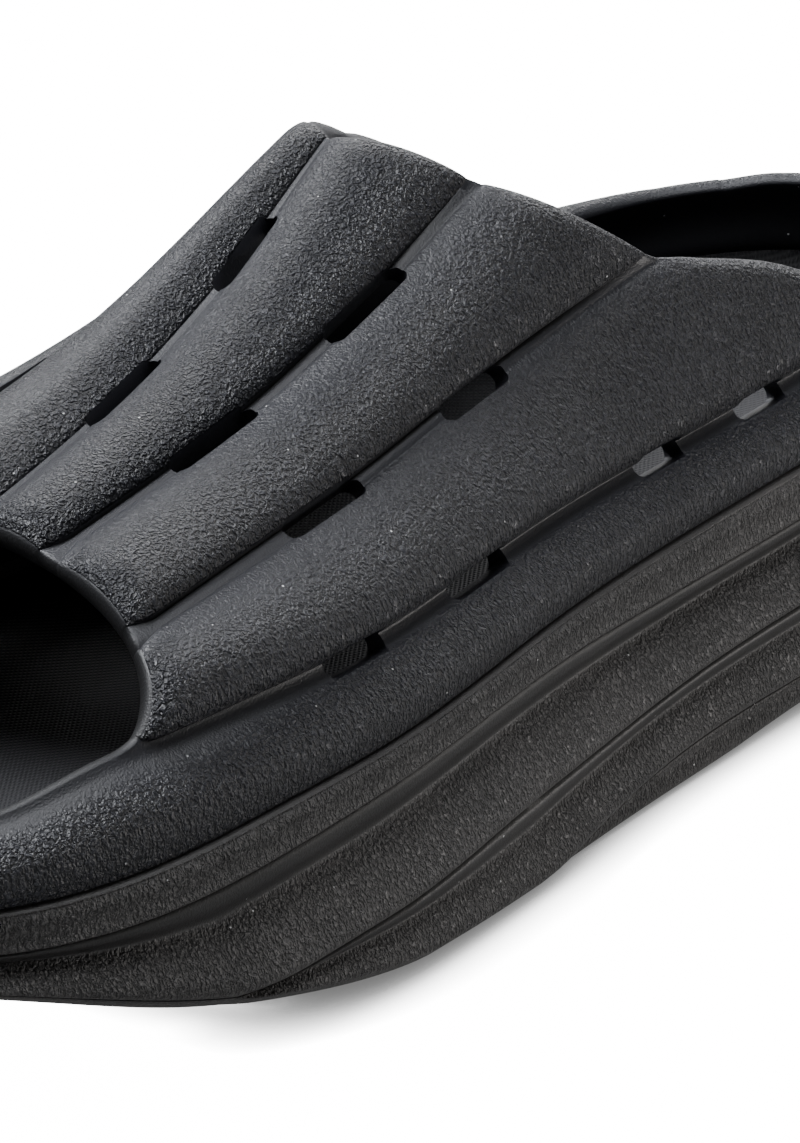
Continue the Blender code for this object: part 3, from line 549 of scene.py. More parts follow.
class Line:
    """A smooth line through table rows: first column the place along, the others read there."""

    def __init__(self, rows):
        rows = np.array(rows, float)
        self.knots = rows[:, 0]
        self.values = rows[:, 1:]
        self.bends = spline_bends(self.knots, self.values, False)

    def at(self, x):
        x = np.clip(np.asarray(x, float), self.knots[0], self.knots[-1])
        i = np.clip(np.searchsorted(self.knots, x, side="right") - 1, 0, len(self.knots) - 2)
        span = (self.knots[i + 1] - self.knots[i])[..., None]
        a = (self.knots[i + 1] - x)[..., None] / span
        return between(self.values, self.bends, i, i + 1, a, span)


class Loop:
    """A smooth closed curve through points in plan, read at a share of the way round."""

    def __init__(self, points):
        self.values = np.array(points, float)
        step = np.hypot(*(np.roll(self.values, -1, 0) - self.values).T)
        self.knots = np.concatenate([[0.0], np.cumsum(step)[:-1]]) / step.sum()
        self.bends = spline_bends(self.knots, self.values, True)

    def at(self, t):
        t = np.asarray(t, float) % 1.0
        i = np.searchsorted(self.knots, t, side="right") - 1
        j = (i + 1) % len(self.knots)
        end = np.where(j == 0, 1.0, self.knots[j])
        span = (end - self.knots[i])[..., None]
        a = (end[..., None] - t[..., None]) / span
        return between(self.values, self.bends, i, j, a, span)


class Last:
    """The form the shoe is built on: outline, side heights and the arch over the foot."""

    def __init__(self):
        half = BALL_WIDTH / 2
        self.outline = Loop([(across * half - CENTRE_ACROSS, place_along(along))
                             for along, across in OUTLINE])
        self.heights = Line(HEIGHTS)
        self.ridge = Line(RIDGE)
        many = np.linspace(0.0, 1.0, OUTLINE_POINTS + 1)[:-1]
        points = self.outline.at(many)
        toe = int(np.argmin(points[:, 1]))
        heel = int(np.argmax(points[:, 1]))
        turned = np.roll(np.arange(len(many)), -toe)
        rise = (heel - toe) % len(many)
        outer = turned[: rise + 1]
        inner = np.append(turned[rise:], turned[0])
        start = many[toe]
        self.spans = {}
        for side, which in (("outer", outer), ("inner", inner[::-1])):
            turn = (many[which] - start) % 1.0
            if side == "inner":
                turn[0] = 1.0
            self.spans[side] = (share_along(points[which, 1]), turn + start)

    def share(self, t):
        return share_along(self.outline.at(t)[..., 1])

    def turn(self, share, side):
        """Share of the way round the outline at a place along one side."""
        return np.interp(share, *self.spans[side])

    def inward(self, t):
        ahead = unit(self.outline.at(np.asarray(t) + TURN_STEP) - self.outline.at(np.asarray(t) - TURN_STEP))
        return np.stack([-ahead[..., 1], ahead[..., 0]], -1)

    def height(self, share, name):
        column = ("seam", "crease_2", "crease_3", "edge", "under").index(name)
        found = self.heights.at(share)[..., column] * SEAM_HEIGHT
        if name == "under":
            return np.maximum(found, 0.0)
        return found

    def seam(self, t):
        plan = self.outline.at(t)
        return np.concatenate([plan, self.height(self.share(t), "seam")[..., None]], -1)

    def shoulder(self, t):
        point = self.seam(t)
        point[..., :2] += self.inward(t) * SHOULDER_LEAN
        point[..., 2] += SHOULDER_RISE
        return point

    def flank(self, share, w, side):
        """Point of the arch: w is 0 at the shoulder and 1 at the ridge, below 0 down to the seam."""
        t = self.turn(share, side)
        low = self.seam(t)
        start = self.shoulder(t)
        ridge = self.ridge.at(share)
        top = np.stack([ridge[..., 0] * BALL_WIDTH / 2 - CENTRE_ACROSS, place_along(share),
                        ridge[..., 1] * INSTEP_HEIGHT], -1)
        lead = np.zeros_like(start)
        lead[..., :2] = self.inward(t) * SHOULDER_LEAN * ARCH_LEAN
        lead[..., 2] = SHOULDER_RISE * ARCH_RISE
        lead = unit(lead)
        reach = np.linalg.norm(top - start, axis=-1, keepdims=True)
        level = np.array([1.0 if side == "outer" else -1.0, 0.0, 0.0])
        pull = ARCH_PULL[side]
        p1 = start + lead * reach * pull[0]
        p2 = top + level * reach * pull[1]
        bend = np.sqrt(w * w + SHOULDER_SOFT ** 2)
        a = np.minimum((w + bend) / 2, 1.0)[..., None]
        below = ((w - bend) / 2)[..., None]
        curve = ((1 - a) ** 3 * start + 3 * (1 - a) ** 2 * a * p1
                 + 3 * (1 - a) * a ** 2 * p2 + a ** 3 * top)
        return curve + (start - low) * below

    def arch(self, share, b):
        share, b = np.broadcast_arrays(np.asarray(share, float), np.asarray(b, float))
        outer = self.flank(share, b, "outer")
        inner = self.flank(share, 2.0 - b, "inner")
        return np.where((b <= 1.0)[..., None], outer, inner)

    def arch_normals(self, share, b):
        along = self.arch(share + ALONG_STEP, b) - self.arch(share - ALONG_STEP, b)
        across = self.arch(share, b + ACROSS_STEP) - self.arch(share, b - ACROSS_STEP)
        return unit(np.cross(along, across))

    def wall_normals(self, turns):
        ahead = self.shoulder(turns + TURN_STEP) + self.seam(turns + TURN_STEP)
        behind = self.shoulder(turns - TURN_STEP) + self.seam(turns - TURN_STEP)
        return unit(np.cross(ahead - behind, self.shoulder(turns) - self.seam(turns)))


GROOVE_LINES = [Line(list(zip(STOPS, row[1:]))) for row in GROOVES]
GROOVE_NAMES = [row[0] for row in GROOVES]
RIBS = len(GROOVES) - 1


def groove_places(v):
    """Places across the arch of all the groove lines at v, 0 at the toe opening and 1 at the collar."""
    return np.stack([line.at(v)[..., 0] for line in GROOVE_LINES])


def open_edge(b, ends, edge):
    """Place along the shoe of the toe opening's or the collar's edge at b across the arch."""
    middle, run, power = edge
    low = 1.0 - ends[0]
    high = ends[1] - 1.0
    away = np.clip(np.where(b < 1.0, (1.0 - b) / low, (b - 1.0) / high), 0.0, 1.0)
    share = middle + run * (1.0 - (1.0 - away ** power) ** (1.0 / power))
    if edge is not COLLAR_EDGE:
        return share
    more = soft_step((away - COLLAR_SIDE_AT[0]) / COLLAR_SIDE_AT[1]) * np.sqrt(1.0 - away ** 6)
    return share + COLLAR_SIDE * more * (b < 1.0)


FRONT_PLACES = groove_places(0.0)
REAR_PLACES = groove_places(1.0)


def vamp_place(u, v):
    """Place along the shoe and across the arch of a point u ribs up and v of the way back."""
    which = np.clip(u.astype(int), 0, RIBS - 1)
    part = u - which
    lines = groove_places(v)
    low = np.take_along_axis(lines, which[None], 0)[0]
    high = np.take_along_axis(lines, which[None] + 1, 0)[0]
    b = low * (1.0 - part) + high * part
    front, rear = [
        open_edge(places[which] * (1.0 - part) + places[which + 1] * part, (places[0], places[-1]), edge)
        for places, edge in ((FRONT_PLACES, TOE_EDGE), (REAR_PLACES, COLLAR_EDGE))]
    return front + v * (rear - front), b


def rib_rise(r):
    """Height of a rib, 0 to 1: r runs from its upper groove to its lower one."""
    gentle = np.sin(0.5 * np.pi * np.clip(r / RIB_CREST, 0.0, 1.0)) ** RIB_CLIMB
    past = np.clip((r - RIB_CREST) / (1.0 - RIB_CREST), 0.0, 1.0)
    drop = np.sqrt(1.0 - past ** RIB_FALL)
    return np.where(r < RIB_CREST, gentle, drop)


def top_rib_rise(r):
    """Height of the rib on the ridge, which falls to both its grooves alike."""
    return np.clip(1.0 - np.abs(2.0 * r - 1.0) ** TOP_RIB_SQUARE, 0.0, 1.0) ** TOP_RIB_ROUND


def wall_rise(h):
    """Swell of the rib between the seam (h 0) and the side groove or rim edge (h 1)."""
    low = np.sin(0.5 * np.pi * np.clip(h / WALL_CREST, 0.0, 1.0)) ** WALL_CLIMB
    down = np.clip((h - WALL_CREST) / (WALL_TOP - WALL_CREST), 0.0, 1.0)
    high = np.cos(0.5 * np.pi * down) ** WALL_FALL
    return np.where(h < WALL_CREST, low, high)


def rim_edge(start, middle, end, count):
    """Levels of the rim's edge from one corner of an opening round to the other."""
    x = np.linspace(0.0, 1.0, count + 2)[1:-1]
    near = np.minimum(x, 1.0 - x)
    blend = soft_step(2.0 * near / RIM_RUN)
    corner = np.where(x < 0.5, start, end)
    return corner + (middle - corner) * blend


def flare(away, run):
    """How much wider a groove floor is, this far from an opening's edge."""
    reach, gain = run
    return 1.0 + gain * np.clip(1.0 - away / reach, 0.0, 1.0) ** 2


def rolled(away, roll):
    """What is left of a rib's height, this far from an opening's edge."""
    reach, least = roll
    return least + (1.0 - least) * np.sqrt(1.0 - np.clip(1.0 - away / reach, 0.0, 1.0) ** 2)


def rib_columns():
    """Columns across the vamp: the rib each lies in, its kind, and its place in the rib or floor."""
    columns = []
    for k in range(RIBS):
        spread = np.array(RIB_SPREAD)
        if k <= TOP_RIB:
            spread = 1.0 - spread[::-1]
        columns.append((k, "line", 0.0))
        if k == 0:
            columns += [(k, "low", x) for x in FLOOR_SPREAD]
        columns += [(k, "rib", x) for x in spread]
    columns += [(RIBS - 1, "high", x) for x in FLOOR_SPREAD[::-1]]
    return columns + [(RIBS, "line", 0.0)]


def rib_widths(last, v):
    """Width of every rib at v, and the shares of it that the groove floors on its two sides take."""
    marks = np.stack([last.arch(*vamp_place(np.full(len(v), float(k)), v)) for k in range(RIBS + 1)])
    width = np.linalg.norm(np.diff(marks, axis=0), axis=-1)
    step = np.linalg.norm(np.diff(marks, axis=1), axis=-1)
    length = np.concatenate([np.zeros((RIBS + 1, 1)), np.cumsum(step, axis=1)], 1)
    wide = flare(length, TOE_FLARE) * flare(length[:, -1:] - length, COLLAR_FLARE)
    half = FLOOR_HALF * wide * np.array(FLOOR_WIDTHS)[:, None]
    low, high = [np.clip(part / width, LEAST_FLOOR, FLOOR_LIMIT) for part in (half[:-1], half[1:])]
    return width, low, high


class Vamp:
    """The ribbed part over the foot as a grid of columns across and rows from toe opening to collar."""

    def __init__(self, last, v):
        columns = rib_columns()
        which = np.array([min(k, RIBS - 1) for k, kind, x in columns])
        self.top = (which == TOP_RIB)[:, None]
        width, low, high = rib_widths(last, v)
        u = self.spread(columns, low, high)
        self.share, self.b = vamp_place(u, np.broadcast_to(v, u.shape))
        self.points = last.arch(self.share, self.b)
        self.normals = last.arch_normals(self.share, self.b)
        along = np.cumsum(np.linalg.norm(np.diff(self.points, axis=1), axis=-1), axis=1)
        self.from_front = np.concatenate([np.zeros((len(u), 1)), along], 1)
        self.from_rear = self.from_front[:, -1:] - self.from_front
        self.foot_line = self.ribbed & (~self.top) & (self.r > FOOT_AT)
        self.inner = soft_step(self.from_front / FOOT_RUN[0]) * soft_step(self.from_rear / FOOT_RUN[1])
        self.lift = self.rib_lift()
        self.grain_and_shade = self.rib_grain_and_shade(self.r * width[which])

    def spread(self, columns, low, high):
        """Places of the columns, counted in ribs; keeps how far down its rib each point lies."""
        u = np.zeros((len(columns), low.shape[1]))
        self.r = np.ones(u.shape)
        self.ribbed = np.zeros(u.shape, bool)
        for i, (k, kind, x) in enumerate(columns):
            if kind == "line":
                u[i] = k
            elif kind == "low":
                u[i] = k + low[k] * x
            elif kind == "high":
                u[i] = k + 1.0 - high[k] * x
            else:
                u[i] = k + low[k] + (1.0 - low[k] - high[k]) * x
                self.r[i] = 1.0 - x if k <= TOP_RIB else x
                self.ribbed[i] = True
        return u

    def rib_lift(self):
        """How far every point stands out from the groove floors."""
        r = self.r
        arc = np.sin(np.pi * np.clip(r, 0.0, 1.0)) ** FLANK_ARC
        reach, full = COLLAR_SOFT
        soft = ROUND_FLANK + (full - ROUND_FLANK) * soft_step(1.0 - self.from_rear / reach)
        rise = np.where(self.top, top_rib_rise(r), rib_rise(r) * (1.0 - soft) + arc * soft)
        rise = np.where(self.ribbed, rise, 0.0)
        fade = rolled(self.from_front, FRONT_ROLL) * rolled(self.from_rear, COLLAR_ROLL)
        beside = self.ribbed & (~self.top) & (rise < 0.5)
        crease = np.exp(-((r - CREASE_AT) / CREASE_WIDE) ** 2) * beside
        return rise * fade * RIB_HEIGHT - crease * CREASE_DEPTH - self.foot_line * FOOT_DEPTH * self.inner

    def rib_grain_and_shade(self, down):
        """Grain value of every point, from its distance down from its rib's upper groove, and painted shade
        on the groove floors and the foot line.
        """
        grain_and_shade = GRAIN_LEAST + (1.0 - GRAIN_LEAST) * soft_step((down - GRAIN_FROM) / GRAIN_RUN)
        sides = np.abs(2.0 * self.r - 1.0)
        least, start, run = TOP_GRAIN
        grain_and_shade = np.where(self.top, least + (1.0 - least) * soft_step((sides - start) / run), grain_and_shade)
        strength, reach, start, run = FRONT_GRAIN
        front = strength * soft_step(1.0 - self.from_front / reach) * soft_step((self.r - start) / run)
        foot = np.where(self.top, 0.5 - 0.5 * sides, 1.0 - self.r)
        grain_and_shade = np.maximum(grain_and_shade, front) * soft_step(foot / GRAIN_EDGES[1]) * soft_step(down / GRAIN_EDGES[0])
        # Groove floors get a little painted shade.
        grain_and_shade = np.where(self.ribbed, grain_and_shade, GROOVE_FLOOR_SHADE)
        # The foot line gets painted shade, fading in at the toe opening and out before the collar.
        return np.where(self.foot_line, FOOT_LINE_SHADE * self.inner, grain_and_shade)


class Upper:
    """The whole upper: ring of wall round the foot plus the vamp, as an outer and an inner layer."""

    def __init__(self, last):
        x = np.linspace(0.0, 1.0, FINE_ROWS)
        vamp = Vamp(last, x - ROW_SQUEEZE * np.sin(2.0 * np.pi * x))
        self.go_round(last, vamp)
        self.lay_grid(last, vamp)
        self.thicken(last, self.shape_ring(last, vamp))

    def go_round(self, last, vamp):
        """Turns of the ring's stations and the level of its top at each: along the outer side, round
        the heel, back along the inner side and round the toe."""
        outer = last.turn(vamp.share[0], "outer")
        inner = last.turn(vamp.share[-1], "inner")
        heel = np.linspace(outer[-1], inner[-1], FINE_HEEL + 1)[1:-1]
        toe = np.linspace(inner[0], outer[0] + 1.0, FINE_TOE + 1)[1:-1]
        self.turns = np.concatenate([outer, heel, inner[::-1], toe])
        stops = np.cumsum([len(outer), len(heel), len(inner), len(toe)])
        self.outer_at, self.heel_at, back, self.toe_at = np.split(np.arange(stops[-1]), stops[:-1])
        self.inner_at = back[::-1]
        near = vamp.b[0]
        far = 2.0 - vamp.b[-1]
        self.top = np.concatenate([near, rim_edge(near[-1], HEEL_RIM + RIM_UP, far[-1], len(heel)),
                                   far[::-1], rim_edge(far[0], TOE_RIM, near[0], len(toe))])

    def lay_grid(self, last, vamp):
        """The surface under the ribs: points of the ring and then of the vamp, faces and edge loops."""
        self.h = np.linspace(0.0, 1.0, FINE_WALL + 1)
        seam = last.seam(self.turns)
        climb = self.h[None, :, None] * (1.0 + self.top)[:, None, None]
        wall = seam[:, None] + (last.shoulder(self.turns) - seam)[:, None] * climb
        self.ring = ring = np.arange(wall.size // 3).reshape(wall.shape[:2])
        inside = vamp.points[1:-1]
        inside = np.arange(inside.size // 3).reshape(inside.shape[:2]) + ring.size
        over = np.concatenate([ring[self.outer_at, -1][None], inside, ring[self.inner_at, -1][None]])
        self.over = over
        self.points = self.joined(wall, vamp.points)
        self.normals = self.joined(last.wall_normals(self.turns)[:, None], vamp.normals)
        around = np.roll(ring, -1, 0)
        wall_quads = np.stack([ring[:, :-1], around[:, :-1], around[:, 1:], ring[:, 1:]], -1)
        vamp_quads = np.stack([over[:-1, :-1], over[:-1, 1:], over[1:, 1:], over[1:, :-1]], -1)
        self.quads = np.concatenate([wall_quads.reshape(-1, 4), vamp_quads.reshape(-1, 4)])
        self.seam_loop = ring[:, 0]
        self.toe_loop = np.concatenate([over[:, 0], ring[self.toe_at, -1]])
        self.collar_loop = np.concatenate([over[::-1, -1], ring[self.heel_at, -1]])

    def joined(self, on_ring, on_vamp):
        """One row of values for all points, from the ring's and the vamp's."""
        values = np.zeros((self.over.max() + 1, *on_vamp.shape[2:]))
        values[self.ring] = on_ring
        values[self.over] = on_vamp
        return values

    def shape_ring(self, last, vamp):
        """How far every point stands out; keeps the grain values, with painted shade along the line under the
        side slots and on the ring's top row.
        """
        share = last.share(self.turns)
        ahead = soft_step((RING_SMOOTH[0] - share) / RING_SMOOTH[1])
        reach = RING_GRAIN[0] + (RING_GRAIN[1] - RING_GRAIN[0]) * ahead
        beside = (1.0 - ahead) * soft_step((STRIP_END[0] - share) / STRIP_END[1])
        level, wide, deep = STRIP_LINE
        # The line under the side slots: a shallow groove that also gets painted shade.
        shaded_groove_line = np.exp(-((self.h - level) / wide) ** 2)[None, :] * beside[:, None]
        grain_and_shade = soft_step((RING_TOP - self.h)[None, :] / reach[:, None]) - shaded_groove_line
        self.grain_and_shade = self.joined(grain_and_shade, vamp.grain_and_shade)
        # The ring's top row gets the groove floors' painted shade.
        self.grain_and_shade[self.ring[:, -1]] = GROOVE_FLOOR_SHADE
        lift = self.joined(wall_rise(self.h)[None, :] * RIB_HEIGHT, vamp.lift)
        lift[self.ring[:, -1]] = 0.0
        lift[self.ring] -= shaded_groove_line * deep
        return lift

    def thicken(self, last, lift):
        """The outer layer with its ribs and the inner layer behind it."""
        inward = np.zeros(self.points.shape)
        inward[self.ring, :2] = last.inward(self.turns)[:, None]
        h = self.joined(self.h[None, :], np.ones(self.over.shape))
        depth = SEAM_TUCK + (FLOOR_DEPTH - SEAM_TUCK) * h
        self.outside = self.points + self.normals * (lift - depth)[:, None]
        up = soft_step(h / INNER_TURN)[:, None]
        way = unit(inward * (1.0 - up) - self.normals * up)
        thick = RIM_WALL + (WALL + FLOOR_DEPTH - RIM_WALL) * up[:, 0]
        self.inside = self.points + way * thick[:, None]
        for layer in (self.outside, self.inside):
            layer[self.seam_loop, 2] = self.points[self.seam_loop, 2] + GAP

    def edge_rows(self, loop, count):
        """Rows of points that carry the outside over to the inside round an opening's edge."""
        over = self.outside[loop]
        under = self.inside[loop]
        along = np.roll(self.points[loop], -1, 0) - np.roll(self.points[loop], 1, 0)
        away = unit(np.cross(self.normals[loop], along))
        middle = (over + under) / 2
        half = np.linalg.norm(over - under, axis=-1)[:, None] / 2
        rows = []
        for i in range(1, count + 1):
            turn = math.pi * i / (count + 1)
            swing = away * half * EDGE_FULL * math.sin(turn)
            rows.append(middle + (over - middle) * math.cos(turn) + swing)
        return rows

    def closed(self):
        """Points, faces and grain values of the upper, closed by rows round its edges and under the seam; the
        inside and the rows rolling into the openings get painted shade.
        """
        n = len(self.points)
        points = [self.outside, self.inside]
        # The whole inside layer gets painted shade.
        grain_and_shade = [self.grain_and_shade, np.full(n, INSIDE_SHADE)]
        faces = [self.quads, self.quads[:, ::-1] + n]
        count = 2 * n
        # Rows round the toe opening and the collar run into painted shade as they roll inwards.
        loops = ((self.seam_loop, 0, EDGE_GRAIN_AND_SHADE[0]), (self.toe_loop, FINE_EDGE, EDGE_GRAIN_AND_SHADE[0]),
                 (self.collar_loop, FINE_EDGE, EDGE_GRAIN_AND_SHADE[1]))
        for loop, edge, (first, step) in loops:
            chain = [loop]
            for i, row in enumerate(self.edge_rows(loop, edge)):
                points.append(row)
                grain_and_shade.append(np.full(len(row), max(first + step * i, DEEPEST_EDGE_SHADE)))
                chain.append(np.arange(count, count + len(loop)))
                count += len(loop)
            chain.append(loop + n)
            flip = -1 if loop is self.seam_loop else 1
            for near, far in zip(chain[:-1], chain[1:]):
                quad = np.stack([near, np.roll(near, -1), np.roll(far, -1), far], -1)
                faces.append(quad[:, ::flip])
        return np.concatenate(points), np.concatenate(faces), np.concatenate(grain_and_shade)


def place_object(name, data):
    """A new object in the scene, at the origin."""
    thing = bpy.data.objects.new(name, data)
    bpy.context.scene.collection.objects.link(thing)
    return thing


def make_piece(name, points, faces, grain_and_shade, material):
    """A mesh piece with its grain values, painted shade below 0, stored at the points and its faces turned
    outwards.
    """
    mesh = bpy.data.meshes.new(name)
    mesh.from_pydata(np.asarray(points).tolist(), [], [list(map(int, f)) for f in faces])
    grain_and_shade_value = mesh.attributes.new("grain_and_shade", "FLOAT", "POINT")
    grain_and_shade_value.data.foreach_set("value", np.asarray(grain_and_shade, np.float32))
    mesh.materials.append(material)
    turn_outwards(mesh)
    return place_object(name, mesh)


def turn_outwards(mesh):
    """Turns the faces so that the closed mesh has a positive volume."""
    mesh.calc_loop_triangles()
    corners = np.zeros(len(mesh.vertices) * 3)
    mesh.vertices.foreach_get("co", corners)
    which = np.zeros(len(mesh.loop_triangles) * 3, np.int32)
    mesh.loop_triangles.foreach_get("vertices", which)
    a, b, c = np.moveaxis(corners.reshape(-1, 3)[which.reshape(-1, 3)], 1, 0)
    if np.einsum("ij,ij->", a, np.cross(b, c)) < 0:
        mesh.flip_normals()


def smooth(mesh, degrees):
    mesh.shade_smooth()
    mesh.set_sharp_from_angle(angle=math.radians(degrees))


def node_group(name, kind, inputs, outputs, geometry=False):
    """An empty node group with named number inputs, and the sockets of its input and output nodes."""
    tree = bpy.data.node_groups.new(name, kind)
    if geometry:
        tree.interface.new_socket("Geometry", in_out="INPUT", socket_type="NodeSocketGeometry")
    for label, value in inputs:
        socket = tree.interface.new_socket(label, in_out="INPUT", socket_type="NodeSocketFloat")
        socket.default_value = value
    for label, socket_type in outputs:
        tree.interface.new_socket(label, in_out="OUTPUT", socket_type=socket_type)
    return tree, add_node(tree, "NodeGroupInput").outputs, add_node(tree, "NodeGroupOutput").inputs


def add_node(tree, kind, feeds=(), **settings):
    """A node with its settings, and its inputs fed by name from sockets or set to plain values."""
    node = tree.nodes.new(kind)
    for name, value in settings.items():
        setattr(node, name, value)
    feed(tree, node, feeds)
    return node


def feed(tree, node, feeds):
    """Links or sets inputs of a node from (input, socket or value) pairs."""
    for name, value in feeds:
        if isinstance(value, bpy.types.NodeSocket):
            tree.links.new(value, node.inputs[name])
        else:
            node.inputs[name].default_value = value


def shaped_mesh(thing):
    """The mesh of an object with its modifiers applied."""
    bpy.context.view_layer.update()
    graph = bpy.context.evaluated_depsgraph_get()
    return bpy.data.meshes.new_from_object(thing.evaluated_get(graph))


def run_tree(tree, start, name):
    """Runs the tree on the start object and returns the result as a plain mesh object."""
    start.modifiers.new("shape", "NODES").node_group = tree
    mesh = shaped_mesh(start)
    mesh.name = name
    bpy.data.objects.remove(start, do_unlink=True)
    turn_outwards(mesh)
    return place_object(name, mesh)


def marker_object(name, places, turns, sizes):
    """A mesh of loose points that carry a turn and a size for what is set on them."""
    mesh = bpy.data.meshes.new(name)
    mesh.from_pydata([tuple(p) for p in places], [], [])
    for label, values in (("turn", turns), ("size", sizes)):
        kept = mesh.attributes.new(label, "FLOAT_VECTOR", "POINT")
        kept.data.foreach_set("vector", np.asarray(values, np.float32).reshape(-1))
    return place_object(name, mesh)


def set_on_points(tree, start, end, shape, material):
    """Ends a tree that sets one shape on every marker point, turned and sized by its attributes."""
    turn, size = [add_node(tree, "GeometryNodeInputNamedAttribute", [("Name", label)],
                           data_type="FLOAT_VECTOR").outputs["Attribute"] for label in ("turn", "size")]
    angles = add_node(tree, "FunctionNodeEulerToRotation", [("Euler", turn)]).outputs["Rotation"]
    place = add_node(tree, "GeometryNodeInstanceOnPoints", [
        ("Points", start["Geometry"]), ("Instance", shape), ("Rotation", angles), ("Scale", size)])
    real = add_node(tree, "GeometryNodeRealizeInstances", [("Geometry", place.outputs["Instances"])])
    paint = add_node(tree, "GeometryNodeSetMaterial", [
        ("Geometry", real.outputs["Geometry"]), ("Material", material)])
    tree.links.new(paint.outputs["Geometry"], end["Geometry"])


def bar_tree(name, inputs):
    """A Geometry Nodes group for bars, with the sockets of its input and output nodes."""
    return node_group(name, "GeometryNodeTree", inputs, [("Geometry", "NodeSocketGeometry")], True)


def moved(tree, shape, axis, way):
    """The shape moved along one axis; returns its output socket."""
    shift = add_node(tree, "ShaderNodeCombineXYZ", [(axis, way)]).outputs["Vector"]
    step = add_node(tree, "GeometryNodeTransform", [("Geometry", shape), ("Translation", shift)])
    return step.outputs["Geometry"]


def slot_tree(material):
    """Tree for the bars that cut the slots: a rounded oblong drawn out through the wall."""
    tree, start, end = bar_tree("slot_bars", (("Length", SLOT_LENGTH), ("Width", SLOT_SEEN),
                                              ("Corner", SLOT_CORNER), ("Height", SLOT_BAR)))
    oblong = add_node(tree, "GeometryNodeCurvePrimitiveQuadrilateral", [
        ("Width", start["Length"]), ("Height", start["Width"])])
    rounded = add_node(tree, "GeometryNodeFilletCurve", [
        ("Curve", oblong.outputs["Curve"]), ("Radius", start["Corner"]), ("Count", SLOT_CORNER_POINTS)],
        mode="POLY")
    filled = add_node(tree, "GeometryNodeFillCurve", [("Curve", rounded.outputs["Curve"])], mode="NGONS")
    flat = filled.outputs["Mesh"]
    drawn = add_node(tree, "GeometryNodeExtrudeMesh", [
        ("Mesh", flat), ("Offset Scale", start["Height"]), ("Individual", False)])
    turned = add_node(tree, "GeometryNodeFlipFaces", [("Mesh", flat)])
    joined = add_node(tree, "GeometryNodeJoinGeometry", [
        ("Geometry", turned.outputs["Mesh"]), ("Geometry", drawn.outputs["Mesh"])])
    half = math_node(tree, "MULTIPLY", start["Height"], -0.5)
    centred = moved(tree, joined.outputs["Geometry"], "Z", half)
    welded = add_node(tree, "GeometryNodeMergeByDistance", [("Geometry", centred), ("Distance", WELD)])
    set_on_points(tree, start, end, welded.outputs["Geometry"], material)
    return tree


def slot_places(last):
    """Middle, turn and size of every slot."""
    many = np.linspace(0.0, 1.0, SLOT_SEARCH)
    places = []
    turns = []
    sizes = []
    for name, front, rear in SLOTS:
        k = GROOVE_NAMES.index(name)
        shares, _ = vamp_place(np.full(len(many), float(k)), many)
        v = np.interp([front, rear], shares, many)
        b = GROOVE_LINES[k].at(v)[..., 0]
        near, far = last.arch(np.array([front, rear]), b)
        share = (front + rear) / 2
        place = float(np.mean(b))
        along = unit(far - near)
        across = last.arch(share, place + SLOT_STEP) - last.arch(share, place - SLOT_STEP)
        down = unit(across) * (-1.0 if place < 1.0 else 1.0)
        normal = unit(np.cross(across, along))
        across = np.cross(normal, along)
        middle = (near + far) / 2 + normal * (SLOT_REACH_OUT - SLOT_REACH_IN) / 2 + down * SLOT_DROP
        frame_of_slot = Matrix((along, across, normal)).transposed()
        places.append(middle)
        turns.append(tuple(frame_of_slot.to_euler("XYZ")))
        sizes.append((np.linalg.norm(far - near) / SLOT_LENGTH, 1.0, 1.0))
    return places, turns, sizes


def cut(piece, cutter):
    """Takes the cutter away from the piece, and removes it. The exact solver loses these dense meshes."""
    step = piece.modifiers.new("cuts", "BOOLEAN")
    step.operation = "DIFFERENCE"
    step.object = cutter
    step.solver = "MANIFOLD"
    shape = shaped_mesh(piece)
    piece.modifiers.clear()
    piece.data = shape
    bpy.data.objects.remove(cutter, do_unlink=True)


def build_upper(last, material):
    points, faces, grain_and_shade = Upper(last).closed()
    upper = make_piece("moulded_upper", points, faces, grain_and_shade, material)
    bars = run_tree(slot_tree(material), marker_object("slot_marks", *slot_places(last)), "slot_bars")
    # The slots' cut walls get painted shade.
    slot_walls_shaded = bars.data.attributes.new("grain_and_shade", "FLOAT", "POINT")
    slot_walls_shaded.data.foreach_set("value", np.full(len(bars.data.vertices), SLOT_WALL_SHADE, np.float32))
    cut(upper, bars)
    smooth(upper.data, SMOOTH_BELOW)
    return upper


def fine_side():
    """Rows of the sole's side, with softly bent rows between those of the table."""
    rows = []
    for band in ("lip", "upper", "middle", "lower"):
        table = [row[1:] for row in SIDE_FINE if row[0] == band]
        line = Line(table)
        knots = [row[0] for row in table]
        for a, b in zip(knots[:-1], knots[1:]):
            parts = BETWEEN if b - a > FAR_ROWS else 1
            for i in range(parts):
                x = a + (b - a) * i / parts
                rows.append((band, x, *line.at(x)))
        rows.append((band, 1.0, *line.at(1.0)))
    return rows


